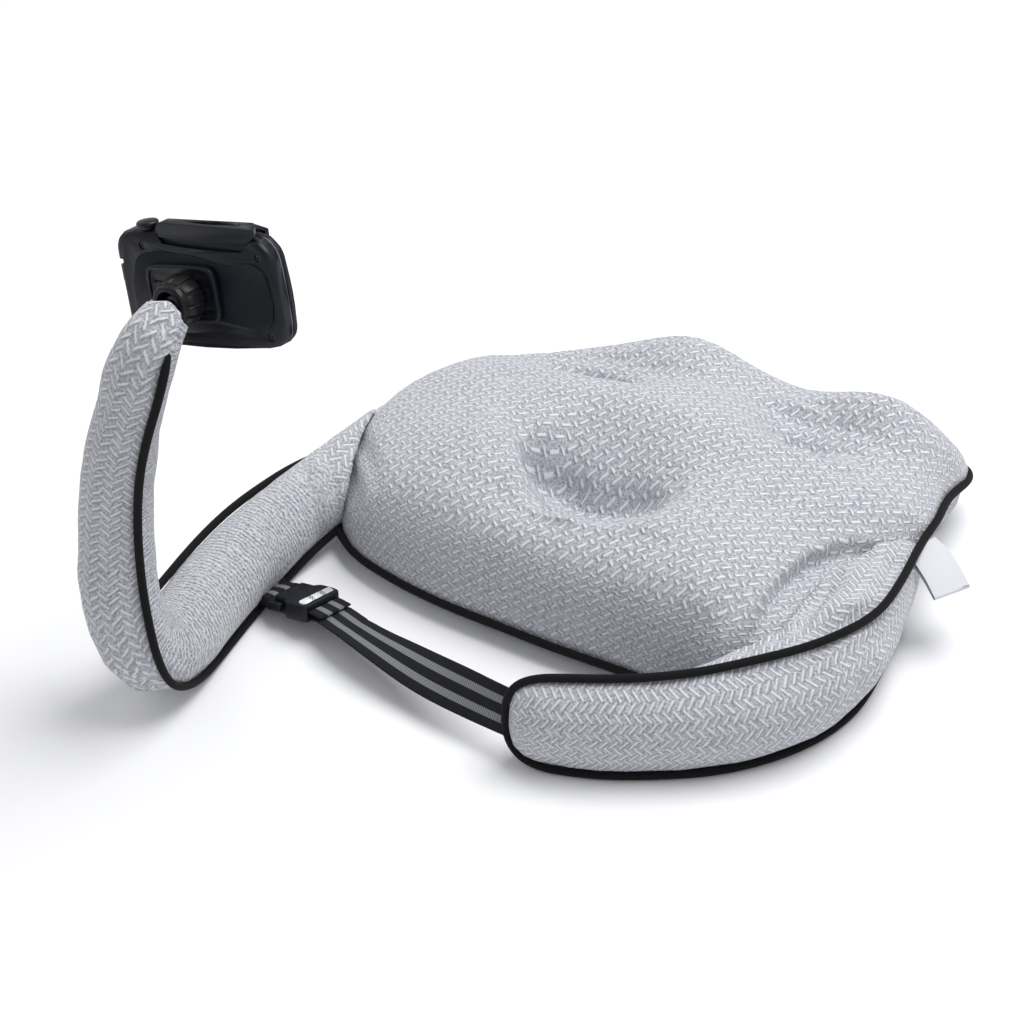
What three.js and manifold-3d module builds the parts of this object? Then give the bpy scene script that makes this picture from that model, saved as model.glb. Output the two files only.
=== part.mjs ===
// A back support cushion: a crowned butterfly pad with two padded arms, a belt with a side release
// buckle between them, and a phone holder on a ball joint at the end of the long, bent arm.
// Millimetres. +X runs from the long arm to the short one, +Y from the belt to the back of the pad,
// +Z is up, and the origin lies on the floor under the middle of the pad.
import * as THREE from "three";
import { mergeVertices } from "three/addons/utils/BufferGeometryUtils.js";
import Module from "manifold-3d";

const wasm = await Module();
wasm.setup();

// Driving dimensions
const GAP = 0.3; // left between two pieces that touch
const SEAM_GAP = 0.7; // from a seam to the cord of its piping, for the facets of both
const PIPING_RADIUS = 2.5;
const CORNER_STEPS = 3; // straight steps in each rounded corner of a slab
// Sides of a round piece: of small pins, of most, of the knob, and of the nut's bore.
const SIDES = { small: 12, plain: 16, knob: 20, fine: 24 };
const OVER = 1; // how far a cut runs out past the surface it opens
const WIDE = 90; // reach of a cut that takes in the whole holder

// The pad's seam, anticlockwise from the end of the short arm's root.
const PAD_SEAM = [
  { x: 202, y: 84, z: 60 },
  { x: 196, y: 45, z: 46 },
  { x: 191, y: 5, z: 38 },
  { x: 192, y: -37, z: 30 },
  { x: 189, y: -76, z: 22 },
  { x: 165, y: -102, z: 17 },
  { x: 120, y: -107, z: 15 },
  { x: 69, y: -109, z: 15 },
  { x: 20, y: -113, z: 15 },
  { x: -27, y: -115, z: 15 },
  { x: -74, y: -117, z: 15 },
  { x: -120, y: -114, z: 15 },
  { x: -164, y: -104, z: 15 },
  { x: -194, y: -80, z: 16 },
  { x: -214, y: -45, z: 22 },
  { x: -222, y: -4, z: 30 },
  { x: -218, y: 40, z: 34 },
  { x: -200, y: 84, z: 32 },
  { x: -168, y: 123, z: 28 },
  { x: -128, y: 155, z: 24 },
  { x: -84, y: 180, z: 22 },
  { x: -35, y: 194, z: 24 },
  { x: 18, y: 195, z: 26 },
  { x: 70, y: 194, z: 26 },
  { x: 122, y: 200, z: 26 },
  { x: 166, y: 199, z: 30 },
  { x: 188, y: 182, z: 38 },
  { x: 190, y: 138, z: 50 },
];
const PAD = { x: 6, y: -12, crown: 94, edgePower: 5, around: 72, rings: 18 };
// The rings of the pad's underside: share of the way out to the seam, and share of its height.
const PAD_UNDERSIDE = [
  { out: 0.985, up: 0.5 },
  { out: 0.94, up: 0 },
];
// Soft hills and hollows of the pad's top: middle, height, and reach to each side along axes that are
// turned by some degrees. A low power makes a sharper middle and a longer run out.
const PAD_RELIEF = [
  { x: -36, y: -34, rise: -38, turn: 15, left: 17, right: 26, near: 22, far: 40, power: 0.8 }, // dimple
  { x: 2, y: -40, rise: -34, turn: 38, left: 30, right: 34, near: 19, far: 27, power: 0.8 }, // its front
  { x: 26, y: -22, rise: -22, turn: 55, left: 24, right: 22, near: 19, far: 24, power: 0.8 }, // its right
  { x: -92, y: 105, rise: -46, turn: 0, left: 50, right: 50, near: 21, far: 21, power: 1 }, // back hollow
  { x: 92, y: 106, rise: -34, turn: -8, left: 44, right: 44, near: 17, far: 25, power: 1 }, // its pair
  { x: -100, y: -30, rise: 8, turn: 0, left: 70, right: 70, near: 70, far: 70, power: 1 }, // front lobe
  { x: 110, y: -40, rise: 6, turn: 0, left: 60, right: 60, near: 60, far: 60, power: 1 }, // its pair
  { x: 178, y: -22, rise: -20, turn: 0, left: 22, right: 22, near: 40, far: 40, power: 1 }, // at the arm
  { x: 0, y: 62, rise: 11, turn: 0, left: 90, right: 90, near: 26, far: 26, power: 1 }, // back ridge
  { x: -34, y: 164, rise: 24, turn: 0, left: 52, right: 52, near: 26, far: 26, power: 1 }, // back lobe
  { x: 128, y: 166, rise: 27, turn: 0, left: 52, right: 52, near: 26, far: 26, power: 1 }, // its pair
];

// An arm's sections from its root outward. x, y, z is the middle, outer and inner are its reach to
// each side, up is its half height, and top and bottom are where its two seams lie, in degrees from
// the outer side towards the top.
const SHORT_ARM = [
  { x: 183, y: 104, z: 38, outer: 10, inner: 20, up: 20, top: 44, bottom: -60 },
  { x: 189, y: 76, z: 38, outer: 16, inner: 28, up: 28, top: 45, bottom: -60 },
  { x: 192, y: 45, z: 39, outer: 23, inner: 34, up: 34, top: 46, bottom: -60 },
  { x: 194, y: 12, z: 40, outer: 30, inner: 38, up: 37, top: 48, bottom: -60 },
  { x: 196, y: -22, z: 40, outer: 35, inner: 40, up: 38, top: 52, bottom: -60 },
  { x: 194, y: -52, z: 39, outer: 39, inner: 40, up: 38, top: 64, bottom: -60 },
  { x: 184, y: -81, z: 37, outer: 41, inner: 37, up: 37, top: 73, bottom: -61 },
  { x: 168, y: -111, z: 36, outer: 39, inner: 31, up: 36, top: 81, bottom: -63 },
  { x: 149, y: -139, z: 35, outer: 32, inner: 26, up: 35, top: 87, bottom: -65 },
  { x: 125, y: -162, z: 34.5, outer: 26, inner: 24, up: 34, top: 92, bottom: -67 },
  { x: 98, y: -181, z: 34.5, outer: 24, inner: 23, up: 33.5, top: 94, bottom: -68 },
  { x: 70, y: -195, z: 34.5, outer: 22, inner: 21, up: 32, top: 94, bottom: -70 },
];
const LONG_ARM = [
  { x: -178, y: 92, z: 34, outer: 12, inner: 18, up: 20, top: -8, bottom: -120 },
  { x: -188, y: 55, z: 34, outer: 20, inner: 30, up: 28, top: -10, bottom: -120 },
  { x: -196, y: 10, z: 35, outer: 26, inner: 36, up: 32, top: -10, bottom: -122 },
  { x: -200, y: -32, z: 36, outer: 28, inner: 34, up: 32, top: -8, bottom: -126 },
  { x: -205, y: -72, z: 38, outer: 28, inner: 25, up: 27, top: 4, bottom: -134 },
  { x: -210, y: -112, z: 35, outer: 27, inner: 23, up: 27, top: 20, bottom: -138 },
  { x: -213, y: -152, z: 31, outer: 27, inner: 26, up: 30, top: 33, bottom: -128 },
  { x: -210, y: -192, z: 31, outer: 27, inner: 27, up: 30, top: 35, bottom: -125 },
  { x: -204, y: -230, z: 31, outer: 27, inner: 27, up: 30, top: 35, bottom: -126 },
  { x: -198, y: -264, z: 33, outer: 28, inner: 27, up: 29, top: 35, bottom: -136 },
  { x: -197, y: -291, z: 43, outer: 30, inner: 27, up: 30, top: 35, bottom: -152 },
  { x: -204, y: -301, z: 73, outer: 29, inner: 27, up: 28, top: 35, bottom: -162 },
  { x: -211, y: -297, z: 111, outer: 28, inner: 26, up: 27, top: 35, bottom: -162 },
  { x: -211, y: -289, z: 160, outer: 27, inner: 24, up: 26, top: 35, bottom: -158 },
  { x: -204, y: -285, z: 208, outer: 25, inner: 23, up: 25, top: 35, bottom: -155 },
  { x: -193, y: -282, z: 250, outer: 23, inner: 22, up: 23, top: 35, bottom: -157 },
  { x: -182, y: -278, z: 284, outer: 22, inner: 22, up: 22, top: 35, bottom: -160 },
  { x: -176, y: -268, z: 305, outer: 19, inner: 19, up: 19, top: 35, bottom: -160 },
  { x: -173, y: -255, z: 315, outer: 15, inner: 15, up: 15, top: 35, bottom: -160 },
];
const ARM = { around: 20, stepsPerRow: 2 };
const ARM_TIP = { length: 30, steps: 4 };
const NECK_END = { length: 4, steps: 2 };
const SEAM_RIDGE = { rise: 0.07, width: 0.33 }; // how far a seam stands out, and how wide its ridge is

// The stretches of the pad's seam that have piping, as numbers of its points, and the sections of
// the short arm at which its own piping starts.
const PIPING_BACK = { from: 43, to: 71 };
const PIPING_FRONT = { from: 10, to: 32 };
const SHORT_PIPING = { top: 3, bottom: 4 };
// How deep the long arm's lower piping runs under at its last sections, where it comes to a point.
const NECK_PIPING = { sections: 35, sunk: [1.5, 7] };
const TIP_TURNS = [78, 64, 50, 38, 24, 12]; // degrees from the short arm's tip back to its seams

// The belt's route from the short arm's tip to the buckle. lean is how far its width tips up.
const BELT = { width: 32, thickness: 1.6, stepsPerRow: 3 };
const BELT_ROUTE = [
  { x: 42, y: -206, z: 36, lean: 58 },
  { x: 10, y: -201, z: 31, lean: 48 },
  { x: -35, y: -194, z: 25.5, lean: 24 },
  { x: -80, y: -186, z: 23, lean: -3 },
  { x: -112, y: -179, z: 21, lean: -14 },
];

// The buckle lies between the belt and the long arm. Its X axis points along the belt, Z up.
const BUCKLE = { x: -158, y: -169.5, z: 15.3, along: vec(0.975, -0.042, 0.2), up: vec(-0.2, 0.25, 0.94) };
const SOCKET = {
  from: -17,
  to: 17,
  waist: -6,
  waistRound: 2,
  shoulder: -3,
  shoulderRound: 3,
  width: 39,
  waistWidth: 30,
  thickness: 13,
  round: 6,
  edge: 1.5,
};
const POCKET = { from: 8.7, width: 33.5, bottom: -5.3, top: 2.3 };
// The belt runs in level under the pin, from these distances along.
const PIN = { x: 12.5, z: -1.5, radius: 1.5, runIn: [14, 7] };
const BUCKLE_BAR = { x: 10.5, z: 6.1, length: 31, width: 5, thickness: 1.8, tilt: 20 };
const PLUG = {
  from: -28,
  to: -17.3,
  width: 36,
  thickness: 6,
  round: 4,
  edge: 1.2,
  wing: 5.5,
  wingFrom: -19.3,
  wingTo: -7,
  wingRound: 1.5,
  wingEdge: 1,
  bar: 3,
  barHeight: 3,
  slot: 3.8,
  strapStraight: 7.5,
};
const HALF_TURN = [-90, -60, -30, 0, 30, 60, 90]; // webbing around a pin: degrees from underneath to the top
// The belt's end comes back past its pin: how far along, and how far it has sunk to the belt by there.
const LOOP_TAIL = [
  { x: 4, sunk: 0 },
  { x: 8, sunk: 0.5 },
  { x: 12, sunk: 1.3 },
  { x: 16, sunk: 2.2 },
];
const ARM_STRAP_END = { x: -204, y: -160, z: 10.5 };

// The sewn-in label, a folded loop of satin: from the seam outward to its fold.
const LABEL = { width: 30, thickness: 0.8, opening: 5, fold: 1.1, foldTurns: [60, 30, 0, -30, -60] };
const LABEL_ROUTE = [
  { x: 205, y: 66, z: 63 },
  { x: 217, y: 61, z: 61 },
  { x: 230, y: 54, z: 56 },
  { x: 241, y: 47, z: 50 },
];
const LABEL_ACROSS = vec(0.06, -0.98, -0.1);

// The phone holder's ball, and the holder's axes: X is right and Z back, as seen from behind it.
const BALL = { x: -177, y: -243, z: 313, radius: 9, seat: 9.35, around: 16, rings: 12 };
const HOLDER_RIGHT = vec(0.9645, 0.047, 0.265);
const HOLDER_BACK = vec(-0.006, -0.981, 0.196);
// The sleeve ends in a flat cut above the ball and leaves the nut room to turn.
const NECK_CUT = { flat: 15, above: -10, hollow: 18 };
const STEM = { radius: 4.5, from: 9.35, to: 21 };
// The nut's outside from the plate to the neck.
const NUT_PROFILE = [
  { z: -7.3, r: 15.8 },
  { z: -6.3, r: 16.6 },
  { z: 0, r: 16 },
  { z: 6, r: 14.8 },
  { z: 6.6, r: 13.6 },
  { z: 9.6, r: 13.2 },
  { z: 10.5, r: 12.2 },
];
const NUT = {
  flutes: 12,
  fluteDepth: 1.1,
  flutedRows: 4,
  bore: 11.6,
  boreTop: -0.6,
  throat: 7.6,
  throatAt: 4.6,
  mouth: 9.4,
};
// One flute, as shares of its width and of its depth.
const FLUTE = [
  { at: 0, deep: 0 },
  { at: 0.68, deep: 0 },
  { at: 0.76, deep: 1 },
  { at: 0.92, deep: 1 },
];
const PLATE = {
  left: -32,
  right: 25.5,
  bottom: -17,
  top: 20.5,
  back: -7.6,
  front: -11.9,
  round: 9,
  edge: 1.3,
};
const PLATE_DISH = { inset: 3, depth: 0.9 };
const SPIGOT = { radius: 11, top: -1 };
const PLATE_SLOTS = [
  { x: -22, y: 9.5 },
  { x: 18.5, y: 7 },
  { x: 18, y: -8.5 },
];
const PLATE_SLOT = { width: 6, height: 1.4, depth: 1 };

const SHELL_OUTLINE = [
  { x: -58, y: 41, round: 17 },
  { x: 8, y: 41, round: 20 },
  { x: 70.5, y: 39, round: 21 },
  { x: 71, y: -34, round: 17 },
  { x: 5, y: -34.5, round: 20 },
  { x: -58, y: -34.5, round: 13 },
];
const SHELL = { back: -13, split: -22, edge: 3.2, front: -29, frontEdge: 2.2 };
const TRIM = { back: -22.3, front: -23.5, edge: 0.4 };
const SIDE_NOTCH = { from: 17.2, to: 21.2, depth: 4.5 };
const SIDE_STEP = { to: 6.5, depth: 1.5 };
// The raised field on the holder's back.
const FIELD = { rise: 0.8, sink: 1, steps: 44 };
const FIELD_OUTLINE = [
  { x: -48, y: -5 },
  { x: -45, y: 13 },
  { x: -39.5, y: 23.5 },
  { x: -28.5, y: 27.2 },
  { x: -3.5, y: 26.7 },
  { x: 11.5, y: 24.8 },
  { x: 26.5, y: 21.2 },
  { x: 38, y: 19.8 },
  { x: 47, y: 22 },
  { x: 55, y: 22.4 },
  { x: 61.5, y: 18.5 },
  { x: 65, y: 11 },
  { x: 66, y: -6 },
  { x: 61, y: -18.5 },
  { x: 42, y: -21 },
  { x: 20, y: -23.5 },
  { x: -20, y: -26 },
  { x: -42, y: -21 },
];
// The recess that the jaw slides in, in the back's plane, and the jaw's own outline.
const RECESS = { depth: 3 };
const RECESS_OUTLINE = [
  { x: -25, y: 45, round: 0.5 },
  { x: -18, y: 32.8, round: 1 },
  { x: 47.5, y: 29.5, round: 1 },
  { x: 67.5, y: 45, round: 0.5 },
];
const JAW_OUTLINE = [
  { x: -19.4, y: 37.2, round: 1.6 },
  { x: 54, y: 35.6, round: 1.6 },
  { x: 62, y: 41.4, round: 1.4 },
  { x: 60, y: 44.6, round: 2 },
  { x: 38, y: 45.6, round: 8 },
  { x: 14, y: 45.8, round: 8 },
  { x: -18.5, y: 46.8, round: 2 },
  { x: -20.8, y: 42.4, round: 1.6 },
];
// The jaw seen from above: its corners are drawn in towards the front.
const JAW_PLAN = [
  { x: -24, z: -12, round: 0 },
  { x: 61, z: -12, round: 0 },
  { x: 58, z: -19, round: 4 },
  { x: 47, z: -29, round: 6 },
  { x: 47, z: -43, round: 0 },
  { x: -13, z: -43, round: 0 },
  { x: -14, z: -29, round: 3 },
  { x: -24, z: -20, round: 0 },
];
// The jaw's section from its back wall, over the shells and down in front of the phone's edge.
const JAW = {
  back: -13.3,
  front: -42,
  gripFrom: -12,
  gripTo: 48,
  gripBelow: 28,
  topEdge: 2,
  shellsTo: -29.5,
};
const JAW_SECTION = [
  { y: 34, z: -13.3 },
  { y: 34, z: -15.7 },
  { y: 41.6, z: -15.7 },
  { y: 41.6, z: -30 },
  { y: 36, z: -38.4 },
  { y: 29, z: -39 },
  { y: 29, z: -42 },
  { y: 36.6, z: -42 },
  { y: 44.4, z: -28 },
  { y: 48, z: -20 },
  { y: 48, z: -13.3 },
];
const JAW_TROUGH = { bottom: 43.4 };
const JAW_TROUGH_OUTLINE = [
  { x: 0, z: -18.6, round: 1 },
  { x: 24, z: -16.4, round: 8 },
  { x: 47, z: -18.6, round: 1 },
  { x: 24, z: -24.5, round: 8 },
];
const TONGUE = { left: -10, right: 44, bottom: -4, back: -17.7, front: -20.3, play: 0.3 };
const LEDGE = {
  left: -6,
  right: 42,
  wall: 3.2,
  foot: 6.2,
  lip: 2.6,
  height: 9,
  bottom: -38,
  reach: -42,
  root: -25,
};
const PHONE_PAD = { left: -34, right: 54, bottom: -24, top: 28, thickness: 1.2, round: 8 };

const KNOB = { x: -30.5, z: -17.7, well: 2.9 };
// The knob's outline: height along the holder's Y, and radius.
const KNOB_PROFILE = [
  { y: 36.5, r: 2.6 },
  { y: 41.3, r: 2.6 },
  { y: 41.3, r: 4.6 },
  { y: 43, r: 4.6 },
  { y: 43.6, r: 7.1 },
  { y: 45.2, r: 7.5 },
  { y: 46.4, r: 6.6 },
];
const SCREW = {
  head: 2.4,
  height: 1.5,
  well: 2.75,
  wellDepth: 2.4,
  slot: 0.8,
  slotLength: 3.4,
  slotDepth: 0.6,
};
const SCREWS = [
  { x: -34.5, y: 31 },
  { x: 60.5, y: 26.5 },
  { x: 60, y: -25 },
  { x: -46, y: -25.5 },
];

// Small helpers

function vec(x, y, z) {
  return new THREE.Vector3(x, y, z);
}
const radians = (degrees) => (degrees * Math.PI) / 180;

function geometryOf(positions, index) {
  const geometry = new THREE.BufferGeometry();
  const numbers = positions.flatMap((p) => p.toArray());
  geometry.setAttribute("position", new THREE.Float32BufferAttribute(numbers, 3));
  geometry.setIndex(index);
  return volumeOf(geometry) < 0 ? turnedInsideOut(geometry) : geometry;
}

function volumeOf(geometry) {
  const { index, attributes } = geometry;
  const corner = [vec(), vec(), vec()];
  let six = 0;
  for (let face = 0; face < index.count; face += 3) {
    corner.forEach((p, k) => p.fromBufferAttribute(attributes.position, index.getX(face + k)));
    six += corner[0].dot(corner[1].clone().cross(corner[2]));
  }
  return six / 6;
}

function turnedInsideOut(geometry) {
  const index = geometry.index;
  for (let face = 0; face < index.count; face += 3) {
    const second = index.getX(face + 1);
    index.setX(face + 1, index.getX(face + 2));
    index.setX(face + 2, second);
  }
  return geometry;
}

// The triangles between a ring of points and the next one.
function band(from, to, count) {
  const faces = [];
  for (let i = 0; i < count; i++) {
    const next = (i + 1) % count;
    faces.push(from + i, from + next, to + next, from + i, to + next, to + i);
  }
  return faces;
}

// A closed skin over rings of points, drawn together to one point at each end.
function loft(rings, firstPoint, lastPoint) {
  const count = rings[0].length;
  const positions = [...rings.flat(), firstPoint, lastPoint];
  const index = [];
  for (let row = 0; row + 1 < rings.length; row++) index.push(...band(row * count, (row + 1) * count, count));
  const first = positions.length - 2;
  const lastRow = (rings.length - 1) * count;
  for (let i = 0; i < count; i++) {
    const next = (i + 1) % count;
    index.push(first, next, i);
    index.push(first + 1, lastRow + i, lastRow + next);
  }
  return geometryOf(positions, index);
}

const middleOf = (points) => points.reduce((sum, p) => sum.add(p), vec()).divideScalar(points.length);

function solidOf(geometry) {
  const bare = new THREE.BufferGeometry().setAttribute("position", geometry.getAttribute("position"));
  bare.setIndex(geometry.index);
  const merged = mergeVertices(bare, 1e-3);
  const vertProperties = merged.attributes.position.array;
  const index = Array.from(merged.index.array);
  const whole = (_, i) => {
    const [a, b, c] = index.slice(i - (i % 3), i - (i % 3) + 3);
    return a !== b && b !== c && c !== a;
  };
  const triVerts = Uint32Array.from(index.filter(whole));
  return new wasm.Manifold(new wasm.Mesh({ numProp: 3, vertProperties, triVerts }));
}

function geometryFrom(solid) {
  const mesh = solid.getMesh();
  const geometry = new THREE.BufferGeometry();
  geometry.setAttribute("position", new THREE.BufferAttribute(mesh.vertProperties, 3));
  geometry.setIndex(new THREE.BufferAttribute(mesh.triVerts, 1));
  return geometry;
}

const cut = (geometry, ...tools) =>
  geometryFrom(tools.reduce((solid, tool) => solid.subtract(solidOf(tool)), solidOf(geometry)));
const shared = (one, other) => geometryFrom(solidOf(one).intersect(solidOf(other)));
const joined = (geometry, ...more) =>
  geometryFrom(more.reduce((solid, extra) => solid.add(solidOf(extra)), solidOf(geometry)));

// The largest piece that is left once the tools are cut away.
function largestLeft(geometry, ...tools) {
  const pieces = solidOf(cut(geometry, ...tools)).decompose();
  return geometryFrom(pieces.reduce((best, piece) => (piece.volume() > best.volume() ? piece : best)));
}

// A copy whose skin lies further out, to cut a neighbour with.
function grown(geometry, by) {
  const bare = new THREE.BufferGeometry().setAttribute("position", geometry.getAttribute("position").clone());
  bare.setIndex(geometry.index);
  const copy = mergeVertices(bare, 1e-3);
  copy.computeVertexNormals();
  const { position, normal } = copy.attributes;
  for (let i = 0; i < position.count; i++) {
    position.setXYZ(
      i,
      position.getX(i) + normal.getX(i) * by,
      position.getY(i) + normal.getY(i) * by,
      position.getZ(i) + normal.getZ(i) * by,
    );
  }
  return copy;
}

// Catmull-Rom through the rows of a table, column by column, with a number of steps to each row.
function smoothRows(rows, steps) {
  const names = Object.keys(rows[0]);
  const between = (column, at) => {
    const [a, b, c, d] = [-1, 0, 1, 2].map((k) => {
      const row = Math.min(Math.max(Math.floor(at) + k, 0), rows.length - 1);
      return rows[row][column];
    });
    const t = at - Math.floor(at);
    return b + 0.5 * t * (c - a + t * (2 * a - 5 * b + 4 * c - d + t * (3 * (b - c) + d - a)));
  };
  return Array.from({ length: (rows.length - 1) * steps + 1 }, (_, i) =>
    Object.fromEntries(names.map((name) => [name, between(name, i / steps)])),
  );
}

// A cord along a list of points, as straight steps between them.
class StepCurve extends THREE.Curve {
  constructor(points) {
    super();
    this.points = points;
  }
  getPoint(t, target = vec()) {
    const at = Math.min(t, 1) * (this.points.length - 1);
    const row = Math.min(Math.floor(at), this.points.length - 2);
    return target.lerpVectors(this.points[row], this.points[row + 1], at - row);
  }
}

function cord(points, radius, sides = 8) {
  const section = new THREE.Shape();
  for (let i = 0; i < sides; i++) {
    const angle = (2 * Math.PI * (i + 0.5)) / sides;
    const [x, y] = [radius * Math.cos(angle), radius * Math.sin(angle)];
    if (i === 0) section.moveTo(x, y);
    else section.lineTo(x, y);
  }
  const path = new StepCurve(points);
  const steps = points.length - 1;
  return new THREE.ExtrudeGeometry(section, { steps, bevelEnabled: false, extrudePath: path });
}

// A flat band along a list of points. across holds the direction of its width at each point.
function ribbon(points, across, width, thickness) {
  const rings = points.map((p, i) => {
    const ahead = points[Math.min(i + 1, points.length - 1)].clone();
    const tangent = ahead.sub(points[Math.max(i - 1, 0)]).normalize();
    const side = across[i].clone().addScaledVector(tangent, -across[i].dot(tangent)).normalize();
    const face = side.clone().cross(tangent);
    return [[-1, -1], [1, -1], [1, 1], [-1, 1]].map(([w, t]) =>
      p.clone().addScaledVector(side, (w * width) / 2).addScaledVector(face, (t * thickness) / 2),
    );
  });
  return loft(rings, middleOf(rings[0]), middleOf(rings[rings.length - 1]));
}

// Flat shapes with rounded corners, slabs and sections

// A closed outline through corners x, y, each rounded over its own length.
function outline(corners) {
  const shape = new THREE.Shape();
  corners.forEach(({ x, y, round = 0 }, i) => {
    const at = new THREE.Vector2(x, y);
    const towards = (other) => at.clone().add(new THREE.Vector2(other.x - x, other.y - y).setLength(round));
    const from = towards(corners[(i + corners.length - 1) % corners.length]);
    const to = towards(corners[(i + 1) % corners.length]);
    if (i === 0) shape.moveTo(from.x, from.y);
    else shape.lineTo(from.x, from.y);
    if (round > 0) shape.quadraticCurveTo(x, y, to.x, to.y);
  });
  shape.closePath();
  return shape;
}

const rectangle = (left, right, bottom, top, round = 0) =>
  outline([[left, bottom], [right, bottom], [right, top], [left, top]].map(([x, y]) => ({ x, y, round })));

// A slab between two heights, with its edges rounded inside its outline.
function slab(shape, bottom, top, edge = 0) {
  const geometry = new THREE.ExtrudeGeometry(shape, {
    depth: top - bottom - 2 * edge,
    curveSegments: CORNER_STEPS,
    bevelEnabled: edge > 0,
    bevelThickness: edge,
    bevelSize: edge,
    bevelOffset: -edge,
    bevelSegments: 2,
  });
  return geometry.translate(0, 0, bottom + edge);
}

const box = (left, right, bottom, top, front, back) => slab(rectangle(left, right, bottom, top), front, back);

// A section in the plane of Y and Z, drawn out along X.
function alongX(corners, left, right) {
  const turned = new THREE.Matrix4().makeBasis(vec(0, 1, 0), vec(0, 0, 1), vec(1, 0, 0));
  const section = outline(corners.map(({ y, z, round }) => ({ x: y, y: z, round })));
  return slab(section, left, right).applyMatrix4(turned);
}

const sphere = (radius) => new THREE.SphereGeometry(radius, BALL.around, BALL.rings);

// A cylinder along Z, or along Y, between two places.
function postZ(x, y, radius, bottom, top, sides = SIDES.plain) {
  const upright = new THREE.CylinderGeometry(radius, radius, top - bottom, sides).rotateX(Math.PI / 2);
  return upright.translate(x, y, (top + bottom) / 2);
}
function postY(x, z, radius, bottom, top, sides = SIDES.plain) {
  return new THREE.CylinderGeometry(radius, radius, top - bottom, sides).translate(x, (top + bottom) / 2, z);
}

// Pad

const upward = vec(0, 0, 1);
const padMiddle = vec(PAD.x, PAD.y, 0);
const padSeam = new THREE.CatmullRomCurve3(PAD_SEAM.map(({ x, y, z }) => vec(x, y, z)), true)
  .getSpacedPoints(PAD.around)
  .slice(0, PAD.around);

// How much one hill or hollow of the relief raises a place.
function hillHeight(hill, x, y) {
  const away = vec(x - hill.x, y - hill.y, 0).applyAxisAngle(upward, radians(-hill.turn));
  const reachX = away.x < 0 ? hill.left : hill.right;
  const reachY = away.y < 0 ? hill.near : hill.far;
  return hill.rise * Math.exp(-(((away.x / reachX) ** 2 + (away.y / reachY) ** 2) ** hill.power));
}

// The height of the pad's top at x, y, a share `out` of the way from the middle to the seam.
function padTop(x, y, out, seamHeight) {
  const crown = PAD_RELIEF.reduce((height, hill) => height + hillHeight(hill, x, y), PAD.crown);
  return seamHeight + (crown - seamHeight) * Math.sqrt(1 - out ** PAD.edgePower);
}

function padRing(out, heightAt) {
  return padSeam.map((seam) => {
    const p = padMiddle.clone().lerp(vec(seam.x, seam.y, 0), out);
    return p.setZ(heightAt(p, seam));
  });
}

function makePad() {
  const underside = PAD_UNDERSIDE.map(({ out, up }) => padRing(out, (p, seam) => seam.z * up)).reverse();
  const top = Array.from({ length: PAD.rings }, (_, k) => {
    const out = Math.cos(((Math.PI / 2) * k) / PAD.rings);
    return padRing(out, (p, seam) => padTop(p.x, p.y, out, seam.z));
  });
  return loft([...underside, ...top], padMiddle, padMiddle.clone().setZ(padTop(PAD.x, PAD.y, 0, 0)));
}

// Arms

const PIPING_OFF = PIPING_RADIUS + SEAM_GAP;
const PIPING_FLOOR = PIPING_RADIUS + GAP;

// The short arm's sections stand upright. The long one's keep their outer side as it rises.
function uprightFrame(tangent) {
  const outerSide = upward.clone().cross(tangent).normalize();
  return { outerSide, upSide: tangent.clone().cross(outerSide) };
}

function risingFrame(tangent) {
  const outerSide = vec(-1, 0, 0).addScaledVector(tangent, tangent.x).normalize();
  return { outerSide, upSide: outerSide.clone().cross(tangent) };
}

// A point over an arm's skin, at an angle in degrees from its outer side and a distance off it.
function armPoint(section, degrees, off = 0) {
  const angle = radians(degrees);
  const ridge = [section.top, section.bottom].reduce((sum, seam) => {
    const away = Math.atan2(Math.sin(angle - radians(seam)), Math.cos(angle - radians(seam)));
    return sum + SEAM_RIDGE.rise * Math.exp(-((away / SEAM_RIDGE.width) ** 2));
  }, 1);
  const reach = Math.cos(angle) > 0 ? section.outer : section.inner;
  const arm = vec(0, 0, 0)
    .addScaledVector(section.outerSide, reach * ridge * Math.cos(angle))
    .addScaledVector(section.upSide, section.up * ridge * Math.sin(angle));
  arm.setLength(arm.length() + off);
  return arm.add(section.middle);
}

// The lower seam runs up the arm's side until its piping clears the floor.
function liftedSeam(section) {
  const upTheSide = Math.sign(Math.cos(radians(section.bottom)));
  let lifted = section;
  while (armPoint(lifted, lifted.bottom, PIPING_OFF).z < PIPING_FLOOR) {
    lifted = { ...lifted, bottom: lifted.bottom + upTheSide };
  }
  return lifted;
}

function armSections(rows, frameOf) {
  const sections = smoothRows(rows, ARM.stepsPerRow);
  const middles = sections.map(({ x, y, z }) => vec(x, y, z));
  return sections.map((section, i) => {
    const ahead = middles[Math.min(i + 1, middles.length - 1)].clone();
    const tangent = ahead.sub(middles[Math.max(i - 1, 0)]).normalize();
    return liftedSeam({ ...section, middle: middles[i], tangent, ...frameOf(tangent) });
  });
}

// Rounds an arm's last section off over a length, blunt in its height and thin across.
function roundedOff(section, { length, steps }) {
  return Array.from({ length: steps }, (_, k) => {
    const turn = (Math.PI / 2) * ((k + 1) / (steps + 0.5));
    const flat = Math.cos(turn);
    return {
      ...section,
      middle: section.middle.clone().addScaledVector(section.tangent, length * Math.sin(turn)),
      outer: section.outer * flat,
      inner: section.inner * flat,
      up: section.up * Math.sqrt(flat),
    };
  });
}

function armRing(section) {
  const half = ARM.around / 2;
  const outward = section.top - section.bottom;
  const angles = Array.from({ length: ARM.around }, (_, i) =>
    i < half ? section.top - (outward * i) / half : section.bottom - ((360 - outward) * (i - half)) / half,
  );
  return angles.map((angle) => armPoint(section, angle)).map((p) => p.setZ(Math.max(p.z, 0)));
}

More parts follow.
